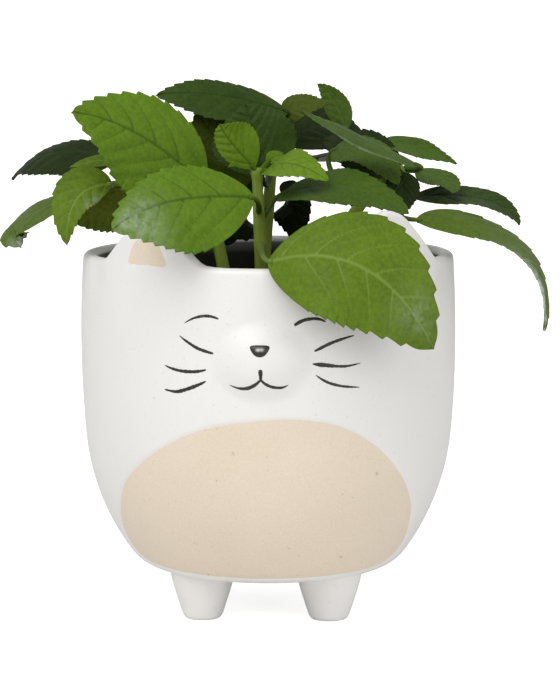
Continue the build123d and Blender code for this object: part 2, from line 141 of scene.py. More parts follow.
def piece(name, parts, material, body, stands_for=()):
    """Mesh object from its parts, riding on a body in place of the nodes it stands for."""
    points, quads, triangles, paint = join(parts)
    mesh = bpy.data.meshes.new(name)
    mesh.from_pydata((points * MM).tolist(), [], quads.tolist() + triangles.tolist())
    mesh.polygons.foreach_set("use_smooth", np.ones(len(mesh.polygons), bool))
    layer = mesh.attributes.new("paint", "FLOAT_COLOR", "POINT")
    layer.data.foreach_set("color", paint.ravel())
    mesh.materials.append(material)
    mesh.update()
    obj = add_object(name, mesh)
    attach(obj, body)
    if stands_for:
        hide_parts(*stands_for)
    return obj


def no_paint(points):
    """Paint of a part whose finish is the same all over."""
    return np.zeros((len(points), 4))


def step(x, low, high):
    """Smooth step from 0 at low to 1 at high: 3 t^2 - 2 t^3."""
    t = np.clip((x - low) / (high - low), 0, 1)
    return t * t * (3 - 2 * t)


def cubic(knots, slopes, k, after, f):
    """Cubic pieces from knot k to the knot after it, at the share f of each."""
    return ((2 * f ** 3 - 3 * f ** 2 + 1) * knots[k] + (f ** 3 - 2 * f ** 2 + f) * slopes[k]
            + (3 * f ** 2 - 2 * f ** 3) * knots[after] + (f ** 3 - f ** 2) * slopes[after])


def closed_spline(knots, count):
    """Smooth closed curve; the slope at a knot is half the way between its neighbours."""
    knots = np.asarray(knots, float)
    slopes = (np.roll(knots, -1, 0) - np.roll(knots, 1, 0)) / 2
    t = np.linspace(0, len(knots), count, endpoint=False)
    k = t.astype(int)
    return cubic(knots, slopes, k, (k + 1) % len(knots), (t - k)[:, None])


def open_spline(knots, count):
    """Smooth open curve through the knots, from the same cubic pieces."""
    knots = np.asarray(knots, float)
    t = np.linspace(0, len(knots) - 1, count)
    k = np.minimum(t.astype(int), len(knots) - 2)
    return cubic(knots, np.gradient(knots, axis=0), k, k + 1, (t - k)[:, None])


# The pot's wall: three arcs one under another, whose middles are (radius, height)

POT_RADIUS = 64.8
RIM_HEIGHT = 124.5
BASE_HEIGHT = 15.5
WAIST_HEIGHT = 96.0
SIDE_ARC = 420.0
BELLY_ARC = 80.0
CORNER_ARC = 14.0
SIDE_ANGLE = math.radians(4.6)
WALL = 5.0

SIDE = np.array([POT_RADIUS - SIDE_ARC, WAIST_HEIGHT])
BELLY = SIDE + np.array([math.cos(SIDE_ANGLE), -math.sin(SIDE_ANGLE)]) * (SIDE_ARC - BELLY_ARC)
CORNER_HEIGHT = BASE_HEIGHT + CORNER_ARC
CORNER_ASIDE = math.sqrt((BELLY_ARC - CORNER_ARC) ** 2 - (BELLY[1] - CORNER_HEIGHT) ** 2)
CORNER = np.array([BELLY[0] + CORNER_ASIDE, CORNER_HEIGHT])
CORNER_ANGLE = math.atan2(BELLY[1] - CORNER_HEIGHT, CORNER[0] - BELLY[0])
SIDE_FOOT = SIDE[1] - SIDE_ARC * math.sin(SIDE_ANGLE)
BELLY_FOOT = BELLY[1] - BELLY_ARC * math.sin(CORNER_ANGLE)

# azimuth of each ear: the pair stands a little to the right of the face's middle
EAR_PLACES = {-1: math.radians(36.6), 1: math.radians(44.6)}
EAR_CHORD = 62.3
EAR_REACH = 35.0
# an ear's edge: across it from front to back, and height over the rim
EAR_EDGE = [
    (-27.0, 0.0), (-23.5, 0.2), (-20.8, 0.6), (-19.0, 1.5), (-16.3, 3.8), (-12.0, 9.0),
    (-8.5, 13.8), (-5.5, 16.8), (-3.0, 17.8), (0.0, 17.5), (3.5, 16.5), (6.2, 14.8),
    (10.6, 10.9), (15.5, 6.4), (18.8, 3.3), (21.5, 1.3), (24.5, 0.3), (28.0, 0.0)]
# samples along the edge, every 0.1 mm, and in the bell that smooths it
EAR_SAMPLES = 701
BELL_SAMPLES = 21
BELL_REACH = 2.5

MUZZLE_CENTRE = (0.6, 94.0)
MUZZLE_HALVES = (17.5, 14.0)
MUZZLE_RISE = 4.3
MUZZLE_FULLNESS = 0.6
# dents in the wall beside each ear's two feet: azimuth, height, half width, depth
DENTS = [(-63.5, 119.5, 7.0, 1.0), (71.0, 119.5, 7.0, 0.8),
         (-12.0, 121.0, 6.0, 0.3), (19.0, 121.0, 6.0, 0.3)]
# the hand-made waver: its depth, and where over the base it begins and is full
WAVER = 0.10
WAVER_START = 2.0
WAVER_FULL = 20.0


def wall_radius(z):
    """Radius of the outer wall at height z: side, belly and corner arcs in turn."""
    z = np.asarray(z, float)
    side = SIDE[0] + np.sqrt(SIDE_ARC ** 2 - (z - SIDE[1]) ** 2)
    belly = BELLY[0] + np.sqrt(np.maximum(BELLY_ARC ** 2 - (z - BELLY[1]) ** 2, 0))
    corner = CORNER[0] + np.sqrt(np.maximum(CORNER_ARC ** 2 - (z - CORNER[1]) ** 2, 0))
    return np.where(z > SIDE_FOOT, side, np.where(z > BELLY_FOOT, belly, corner))


def wall_normal(z):
    """Outward direction of the wall's profile at height z, as (radial, up)."""
    height = z[..., None]
    centre = np.where(height > SIDE_FOOT, SIDE, np.where(height > BELLY_FOOT, BELLY, CORNER))
    return unit(np.stack([wall_radius(z), z], -1) - centre)


def ear_rise(phi):
    """How far the rim stands above RIM_HEIGHT at azimuth phi.

    Each ear's edge is smoothed by a bell curve 2 mm wide, and bent round the pot's axis at
    the distance EAR_CHORD.
    """
    across = np.linspace(-EAR_REACH, EAR_REACH, EAR_SAMPLES)
    x, y = np.array(EAR_EDGE).T
    bell = np.exp(-np.linspace(-BELL_REACH, BELL_REACH, BELL_SAMPLES) ** 2)
    edge = np.interp(across, x, y, left=0, right=0)
    smooth = np.convolve(edge, bell / bell.sum(), "same")
    rise = np.zeros(np.shape(phi))
    for side, azimuth in EAR_PLACES.items():
        behind = np.arctan2(np.sin(side * phi - azimuth), np.cos(side * phi - azimuth))
        place = np.where(np.abs(behind) < math.pi / 2, EAR_CHORD * np.sin(behind), EAR_REACH)
        rise = np.maximum(rise, np.interp(place, across, smooth, left=0, right=0))
    return rise


def relief(phi, z):
    """How far the glazed wall stands out of its plain profile.

    The muzzle is (1 - r)^2 (1 + MUZZLE_FULLNESS r), where r is the squared distance from its
    middle in half widths. The dents are bells. The hand-made waver is a sum of sines that go 3, 5
    and 9 times round the pot, and it fades out at the base.
    """
    x = wall_radius(z) * np.sin(phi)
    r = (((x - MUZZLE_CENTRE[0]) / MUZZLE_HALVES[0]) ** 2
         + ((z - MUZZLE_CENTRE[1]) / MUZZLE_HALVES[1]) ** 2)
    muzzle = MUZZLE_RISE * (1 - np.minimum(r, 1)) ** 2 * (1 + MUZZLE_FULLNESS * r)
    out = np.where((np.cos(phi) > 0) & (r < 1), muzzle, 0.0)
    for azimuth, height, spread, depth in DENTS:
        turn = phi - math.radians(azimuth)
        around = POT_RADIUS * np.arctan2(np.sin(turn), np.cos(turn))
        out = out - depth * np.exp(-(around ** 2 + (z - height) ** 2) / spread ** 2)
    fade = step(z, BASE_HEIGHT + WAVER_START, BASE_HEIGHT + WAVER_FULL)
    waver = (np.sin(3 * phi + 0.6) * np.sin(z / 17.0) + 0.6 * np.sin(5 * phi - z / 23.0)
             + 0.4 * np.sin(9 * phi + z / 11.0))
    return out + WAVER * fade * waver


def on_wall(phi, z, offset):
    """Point of the relief wall at azimuth phi and height z, moved out by offset."""
    normal = wall_normal(z)
    out = relief(phi, z) + offset
    radius = wall_radius(z) + out * normal[..., 0]
    return np.stack([radius * np.sin(phi), -radius * np.cos(phi), z + out * normal[..., 1]], -1)


def from_front(x, z, offset):
    """Point of the wall that is seen from the front at x and z."""
    return on_wall(np.arcsin(np.clip(x / wall_radius(z), -1, 1)), z, offset)


def on_ear(side):
    """Function that places a point on an ear: across it, up from the rim, and out by offset."""
    def place(across, up, offset):
        around = np.arcsin(np.clip(across / EAR_CHORD, -1, 1))
        return on_wall(side * (EAR_PLACES[side] + around), RIM_HEIGHT + up, offset)
    return place


# Bare clay: the belly and the ears' insides

# the belly seen from the front, in order round its edge
BELLY_EDGE = [
    (-50.3, 37.0), (-49.4, 29.5), (-46.6, 23.5), (-41.5, 19.6), (-31.0, 17.9), (-18.0, 17.5),
    (-4.4, 17.4), (12.2, 17.4), (24.0, 17.5), (33.2, 17.9), (39.5, 18.9), (44.6, 21.8),
    (48.6, 27.5), (50.6, 36.5), (50.6, 43.1), (48.0, 52.0), (41.7, 62.0), (33.7, 69.2),
    (25.0, 73.6), (14.8, 75.7), (6.2, 76.0), (-3.3, 75.2), (-16.1, 73.0), (-27.0, 68.8),
    (-37.0, 62.2), (-44.5, 54.8), (-48.8, 47.5)]
BELLY_POINTS = 220
# an ear's patch: across the ear towards the back, and height over the rim
EAR_PATCH = [(-9.8, -1.0), (10.2, -0.8), (7.7, 6.5), (-1.0, 14.0), (-6.2, 5.8)]
PATCH_ROUND = 1.6
PATCH_ARC_POINTS = 9
PATCH_SPLITS = 6
# the wall sinks under the clay, and the clay fills it again to just under the glaze
SINK = 0.7
EDGE_WIDTH = 1.7
PANEL_LEVEL = -0.32
PANEL_EDGE_DROP = 0.30
PANEL_DEPTH = -1.6
# rings of a panel: close together down to this share of its outline, then BELLY or PATCH rings
PANEL_EDGE_RINGS = 8
PANEL_EDGE_SHARE = 0.9
PANEL_EDGE_TURN = 0.02
BELLY_RINGS = 30
PATCH_RINGS = 14
# where to look for the clay: the belly's half width and top, an ear's half width and foot
BELLY_HALF = 56.0
BELLY_TOP = 82.0
BASE_CLEAR = 0.3
PATCH_HALF = 16.0
PATCH_FOOT = -6.0


def inside_distance(x, z, outline):
    """Distance from points to a closed outline, positive inside.

    A point is inside where a ray from it along x crosses the outline an odd number of times.
    """
    a, b = outline, np.roll(outline, -1, 0)
    ab = b - a
    p = np.stack([x, z], -1)[..., None, :]
    t = np.clip(((p - a) * ab).sum(-1) / (ab ** 2).sum(-1), 0, 1)
    distance = np.sqrt((((p - a) - ab * t[..., None]) ** 2).sum(-1).min(-1))
    rise = np.where(ab[:, 1] == 0, TINY, ab[:, 1])
    ahead = p[..., 0] < ab[:, 0] * (p[..., 1] - a[:, 1]) / rise + a[:, 0]
    crosses = ((a[:, 1] > p[..., 1]) != (b[:, 1] > p[..., 1])) & ahead
    return np.where(crosses.sum(-1) % 2 == 1, distance, -distance)


def patch_outline():
    """Outline of an ear's patch: each corner is an arc of PATCH_ROUND, the sides are straight."""
    corners = np.array(EAR_PATCH)
    arcs = []
    for k, corner in enumerate(corners):
        before = unit(corners[k - 1] - corner)
        after = unit(corners[(k + 1) % len(corners)] - corner)
        half = math.acos(float(before @ after)) / 2
        centre = corner + unit(before + after) * PATCH_ROUND / math.sin(half)
        reach = PATCH_ROUND / math.tan(half)
        start, end = corner + before * reach - centre, corner + after * reach - centre
        first, last = math.atan2(start[1], start[0]), math.atan2(end[1], end[0])
        sweep = (last - first + math.pi) % FULL_TURN - math.pi
        angle = first + sweep * np.linspace(0, 1, PATCH_ARC_POINTS)
        arcs.append(centre + PATCH_ROUND * np.column_stack([np.cos(angle), np.sin(angle)]))
    ring = np.concatenate(arcs)
    way = np.roll(ring, -1, 0) - ring
    shares = np.linspace(0, 1, PATCH_SPLITS, endpoint=False)
    return (ring[:, None] + way[:, None] * shares[:, None]).reshape(-1, 2)


BELLY_OUTLINE = closed_spline(BELLY_EDGE, BELLY_POINTS)
PATCH_OUTLINE = patch_outline()


def sinks(phi, z):
    """How far the wall falls away under the bare clay: it rounds down inside each edge."""
    out = np.zeros(np.shape(z))
    x = wall_radius(z) * np.sin(phi)
    near = (np.cos(phi) > 0) & (np.abs(x) < BELLY_HALF)
    near = near & (z < BELLY_TOP) & (z > BASE_HEIGHT + BASE_CLEAR)
    out[near] -= SINK * step(inside_distance(x[near], z[near], BELLY_OUTLINE), 0, EDGE_WIDTH)
    for side, azimuth in EAR_PLACES.items():
        across, up = EAR_CHORD * np.sin(side * phi - azimuth), z - RIM_HEIGHT
        near = (np.abs(across) < PATCH_HALF) & (up > PATCH_FOOT)
        near = near & (np.cos(side * phi - azimuth) > 0)
        inside = inside_distance(across[near], up[near], PATCH_OUTLINE)
        out[near] -= SINK * step(inside, 0, EDGE_WIDTH)
    return out


def skin(outline, place, shares, lift, top):
    """Closed skin on the wall, from an outline to its middle, over a copy that is sunk in the wall.

    A ring is the outline drawn in to a share of itself, and lift is its height over the wall; the
    first lift is the sunk copy's. top is the middle's. place puts (across, up, lift) on the wall.
    """
    middle = outline.mean(0)
    flat = middle + shares[:, None, None] * (outline - middle)

    def at(spot, height):
        return place(spot[..., 0], spot[..., 1], np.broadcast_to(height, spot.shape[:-1]))

    rings = at(np.concatenate([flat[:1], flat]), lift[:, None])
    return closed_rings(rings, at(middle[None], lift[0])[0], at(middle[None], top)[0])


def panel_parts(outline, place, rings):
    """Bare clay panel: level, with an edge that drops under the glaze."""
    shares = np.concatenate([
        np.linspace(1, PANEL_EDGE_SHARE, PANEL_EDGE_RINGS, endpoint=False),
        np.linspace(PANEL_EDGE_SHARE, 0, rings, endpoint=False)])
    level = PANEL_LEVEL - PANEL_EDGE_DROP * (1 - step(1 - shares, 0, PANEL_EDGE_TURN))
    shape = skin(outline, place, shares, np.append(PANEL_DEPTH, level), PANEL_LEVEL)
    return [(*shape, no_paint(shape[0]))]


# The pot as one shell

LIP = 2.3
LIP_SQUARENESS = 0.85
EAR_START = 110.0
DRAIN_RADIUS = 6.0
DRAIN_ROUND = 0.8
# depth under the rim at which the painted shade inside the pot begins, and where it is full
INSIDE_SHADE_FROM = 1.2
INSIDE_SHADE_TO = 2.8
# bands of columns: azimuth at the band's start and end, and how many columns it has
COLUMN_BANDS = [(0, 36, 74), (36, 64, 34), (64, 180, 66)]
# rows of each stretch, from the drain hole round the outside, over the lip and back inside
UNDERSIDE_ROWS = 10
CORNER_ROWS = 14
BELLY_ROWS = 66
SIDE_ROWS = 52
EAR_ROWS = 24
LIP_ROWS = 13
INSIDE_ROWS = 24
INSIDE_CORNER_ROWS = 9
FLOOR_ROWS = 8


def column_angles():
    """Azimuths of the pot's columns: close together in front, wider apart at the back."""
    half = np.concatenate([np.linspace(a, b, n, endpoint=False) for a, b, n in COLUMN_BANDS])
    return np.radians(np.concatenate([half, [180.0], -half[:0:-1]]))


def pot_parts():
    """Closed shell: underside, outer wall, lip, inner wall, floor and drain hole, row by row.

    A row is a ring of points at every azimuth. Rows of the wall are heights on the three arcs;
    above EAR_START they are spread up to the rim's own height at each azimuth; the lip is half
    of a superellipse between the outer and inner wall.
    """
    phi = column_angles()
    lip = RIM_HEIGHT + ear_rise(phi) - LIP
    rings, shade = [], []

    # dark: how much painted shade the ring carries, for the pot's inside
    def ring(radius, z, dark=0.0):
        z = np.broadcast_to(z, phi.shape)
        rings.append(np.stack([radius * np.sin(phi), -radius * np.cos(phi), z], -1))
        shade.append(np.broadcast_to(dark, phi.shape))

    def wall_ring(z):
        rings.append(on_wall(phi, z, sinks(phi, z)))
        shade.append(np.zeros(phi.shape))

    drain_edge = DRAIN_RADIUS + DRAIN_ROUND
    for radius in np.linspace(drain_edge, CORNER[0], UNDERSIDE_ROWS, endpoint=False):
        ring(radius, BASE_HEIGHT)
    corner = np.linspace(math.pi / 2, CORNER_ANGLE, CORNER_ROWS, endpoint=False)
    belly = np.linspace(BELLY_FOOT, BELLY_TOP, BELLY_ROWS, endpoint=False)
    side = np.linspace(BELLY_TOP, EAR_START, SIDE_ROWS, endpoint=False)
    for z in np.concatenate([CORNER[1] - CORNER_ARC * np.sin(corner), belly, side]):
        wall_ring(np.full(phi.shape, z))
    for share in np.linspace(0, 1, EAR_ROWS):
        wall_ring(EAR_START + (lip - EAR_START) * share)
    middle = wall_radius(lip) + relief(phi, lip) - WALL / 2
    for angle in np.linspace(0, math.pi, LIP_ROWS)[1:-1]:
        c, s = math.cos(angle), math.sin(angle)
        across = math.copysign(abs(c) ** LIP_SQUARENESS, c)
        ring(middle + WALL / 2 * across, lip + LIP * s ** LIP_SQUARENESS)
    # inner wall, inside corner and floor: painted shade darkens them to near black, standing in for
    # the shade inside the pot
    for share in np.linspace(0, 1, INSIDE_ROWS, endpoint=False):
        height = lip * (1 - share) + CORNER[1] * share
        radius = wall_radius(height) - WALL + (1 - share) ** 3 * relief(phi, lip)
        ring(radius, height, step(RIM_HEIGHT - height, INSIDE_SHADE_FROM, INSIDE_SHADE_TO))
    inner = CORNER_ARC - WALL
    for angle in np.linspace(CORNER_ANGLE, math.pi / 2, INSIDE_CORNER_ROWS):
        ring(CORNER[0] + inner * math.cos(angle), CORNER[1] - inner * math.sin(angle), 1.0)
    for radius in np.linspace(CORNER[0], drain_edge, FLOOR_ROWS)[1:]:
        ring(radius, BASE_HEIGHT + WALL, 1.0)
    ring(DRAIN_RADIUS, BASE_HEIGHT + WALL - DRAIN_ROUND, 1.0)
    ring(DRAIN_RADIUS, BASE_HEIGHT + DRAIN_ROUND)

    points = np.concatenate(rings)
    paint = no_paint(points)
    paint[:, 0] = np.concatenate(shade)
    quads = grid_quads(len(rings), len(phi), close_rows=True)
    return [(points, quads, np.zeros((0, 3), int), paint)]


# Feet

FOOT_SPREAD = 21.7
# radius and height, from the toe up into the pot
FOOT_PROFILE = [(5.0, 0.0), (5.9, 0.25), (6.7, 1.2), (7.3, 2.8), (8.35, 6.0), (9.6, 10.0),
                (10.5, 13.2), (11.1, 16.0), (11.6, 18.2)]
FOOT_ROWS = 34
FOOT_COLUMNS = 96
# how far a foot is off round, in two and in five swells, and how much each foot is turned
OFF_ROUND = (0.012, 0.006)
FOOT_TURN = 1.3


def foot_parts(x, y, turn):
    """Solid of revolution of a smooth profile, a little off round, closed at both ends."""
    radius, height = open_spline(FOOT_PROFILE, FOOT_ROWS).T[..., None]
    theta = np.linspace(0, FULL_TURN, FOOT_COLUMNS, endpoint=False)
    two, five = np.sin(2 * theta + turn), np.sin(5 * theta + 2 * turn)
    radius = radius * (1 + OFF_ROUND[0] * two + OFF_ROUND[1] * five)
    height = np.broadcast_to(height, radius.shape)
    rings = np.stack([x + radius * np.cos(theta), y + radius * np.sin(theta), height], -1)
    shape = closed_rings(rings, [x, y, 0.0], [x, y, height[-1, 0]])
    return [(*shape, no_paint(shape[0]))]


# The face

# brush lines seen from the front: (x, z, half width) along each line
STROKES = {
    "left_eye": [
        [(-24.8, 106.4, 0.12), (-23.2, 107.4, 0.25), (-21.3, 108.3, 0.38), (-18.4, 109.0, 0.48),
         (-15.8, 108.9, 0.45), (-13.4, 108.2, 0.28)]],
    "right_eye": [
        [(11.2, 106.2, 0.42), (12.4, 107.0, 0.58), (14.4, 107.9, 0.56), (17.2, 108.3, 0.5),
         (19.6, 108.0, 0.42), (21.4, 107.1, 0.2)]],
    "left_whiskers": [
        [(-26.6, 102.2, 0.12), (-24.4, 100.6, 0.38), (-20.8, 98.5, 0.52), (-17.6, 97.4, 0.5),
         (-15.1, 96.8, 0.34)],
        [(-31.6, 92.1, 0.12), (-29.6, 91.3, 0.38), (-26.4, 90.6, 0.5), (-22.4, 90.5, 0.55),
         (-19.4, 90.9, 0.45), (-17.6, 91.4, 0.25)],
        [(-31.6, 84.0, 0.32), (-29.6, 83.7, 0.36), (-27.4, 83.6, 0.55), (-24.4, 84.5, 0.6),
         (-20.6, 86.1, 0.55), (-17.6, 87.6, 0.26)]],
    "right_whiskers": [
        [(17.7, 97.6, 0.3), (19.6, 98.5, 0.5), (22.6, 99.9, 0.52), (26.4, 101.2, 0.45),
         (30.6, 102.3, 0.2)],
        [(17.0, 93.5, 0.16), (19.2, 93.2, 0.66), (21.6, 92.9, 0.68), (25.2, 92.4, 0.46),
         (28.6, 92.3, 0.4), (32.8, 93.0, 0.12)],
        [(18.2, 89.8, 0.14), (20.2, 88.3, 0.36), (22.8, 86.9, 0.46), (26.4, 85.8, 0.42),
         (29.6, 85.3, 0.34), (32.6, 85.0, 0.1)]],
    "mouth": [
        [(0.35, 92.4, 0.5), (0.4, 91.4, 0.66), (0.45, 90.0, 0.5), (0.45, 88.4, 0.42)],
        [(0.6, 89.2, 0.3), (-1.0, 87.5, 0.52), (-2.9, 86.3, 0.62), (-4.7, 85.8, 0.58),
         (-7.0, 85.9, 0.36), (-9.8, 86.8, 0.1)],
        [(0.3, 89.2, 0.3), (1.6, 87.8, 0.46), (3.4, 86.7, 0.5), (5.4, 86.2, 0.5),
         (7.4, 86.2, 0.4), (9.2, 87.0, 0.1)]],
}
STROKE_ROWS = 48
STROKE_COLUMNS = 9
STROKE_FOOT = -0.35
STROKE_EDGE = 0.04
STROKE_CROWN = 0.11
# ripples of a line's width: depth, and how fast along the rows
RIPPLES = [(0.10, 1.7), (0.06, 0.61)]

NOSE_EDGE = [(-2.9, 99.5), (-2.3, 98.0), (-1.3, 96.9), (0.1, 96.4), (1.5, 96.8), (2.6, 98.0),
             (3.2, 99.5), (2.4, 100.1), (0.1, 100.2), (-2.1, 100.1)]
NOSE_POINTS = 64
NOSE_RINGS = 14
NOSE_FOOT = -0.5
NOSE_LIFT = 0.05
NOSE_DOME = 0.55
# the nose's painted highlight: x and z of its middle, and its half width and height
NOSE_PAINTED_HIGHLIGHT = (0.2, 98.8)
NOSE_PAINTED_HIGHLIGHT_HALVES = (1.3, 0.5)


def stroke_parts(line):
    """Raised brush line: a ribbon along the spline, its width from the table with a slight ripple.

    It is crowned across as 1 - v^2, ends round, and stands on a copy that is sunk in the wall.
    """
    path = open_spline(line, STROKE_ROWS)
    centre, half = path[:, :2], path[:, 2]
    along = unit(np.gradient(centre, axis=0))
    aside = np.column_stack([-along[:, 1], along[:, 0]])
    k = np.arange(STROKE_ROWS)
    (broad, slow), (fine, slower) = RIPPLES
    ripple = 1 + broad * np.sin(k * slow + line[0][0]) + fine * np.sin(k * slower)
    ends = np.sqrt(np.clip(1 - np.linspace(-1, 1, STROKE_ROWS) ** 16, 0.02, 1))
    half = half * ripple * ends
    v = np.linspace(-1, 1, STROKE_COLUMNS)
    flat = centre[:, None] + aside[:, None] * (half[:, None] * v)[..., None]
    flat = np.concatenate([flat, flat[:, ::-1]], 1)
    crown = STROKE_EDGE + STROKE_CROWN * (1 - v ** 2)
    lift = np.append(crown, np.full(STROKE_COLUMNS, STROKE_FOOT))
    rings = from_front(flat[..., 0], flat[..., 1], np.broadcast_to(lift, flat.shape[:2]))
    shape = closed_rings(rings, rings[0].mean(0), rings[-1].mean(0))
    return (*shape, no_paint(shape[0]))


def nose_parts():
    """Small domed button that rises as (1 - r^2)^0.7, with a painted highlight near its top."""
    shares = np.linspace(1, 0, NOSE_RINGS, endpoint=False)
    lift = NOSE_LIFT + NOSE_DOME * (1 - shares ** 2) ** 0.7
    outline = closed_spline(NOSE_EDGE, NOSE_POINTS)
    shape = skin(outline, from_front, shares, np.append(NOSE_FOOT, lift), NOSE_LIFT + NOSE_DOME)
    x, z = ((shape[0][:, axis] - NOSE_PAINTED_HIGHLIGHT[k]) / NOSE_PAINTED_HIGHLIGHT_HALVES[k]
            for k, axis in enumerate((0, 2)))
    paint = no_paint(shape[0])
    # painted highlight on the nose, carried in the paint's alpha
    paint[:, 3] = np.exp(-x ** 4 - z ** 2)
    return [(*shape, paint)]


# The plant

# stems: points from the soil to the top
STEMS = {
    "stem_front": [(-1.0, -18, 88), (-1.6, -18.2, 118), (-2.4, -18.4, 138), (-3.2, -18.4, 154.5)],
    "stem_left": [(-12, 0, 88), (-15, -1, 115), (-19, -3, 136), (-21, -4, 149.5)],
    "stem_far_left": [(-22, 6, 88), (-32, 7, 120), (-41, 8, 138), (-48, 9, 150)],
    "stem_back": [(-4, 20, 88), (-2, 21, 125), (0, 20.5, 150), (1, 20, 170)],
    "stem_right": [(14, 2, 88), (20, 3, 120), (33, 3, 142), (47, 3, 153)],
    "stem_far_right": [(22, -6, 88), (30, -5, 118), (38, -3, 132), (46, 0, 139)],
}
STEM_RADIUS = 2.3
STEM_TAPER = 0.32
STEM_SQUARENESS = 3.6
STEM_TINT = 0.4
# a stem swells where a leaf leaves it: by how much, and over which share of its length
KNOT_SWELL = 0.07
KNOT_SHARE = 0.03
KNOT_HIGHEST = 0.97
STEM_ROWS = 70
ROD_COLUMNS = 24

OVATE = (0.72, 0.85)


def leaf(stem, high, base, bend, tip, facing, plus, minus, tone, twist=0, cup=0, powers=OVATE):
    """One leaf's measures.

    stem and high: the stem that carries it, and how far up, as a share. base, bend and tip: its
    midrib's curve. facing: where its upper side looks. plus and minus: half widths on the side of
    facing x midrib and on the other. tone: its greens. twist: degrees from base to tip. cup: how
    much the sides rise. powers: a and b of the outline, for the minus side and then the plus side
    where that differs.
    """
    return {"stem": stem, "high": high, "midrib": (base, bend, tip), "facing": facing,
            "plus": plus, "minus": minus, "tone": tone, "twist": twist, "cup": cup,
            "powers": powers}


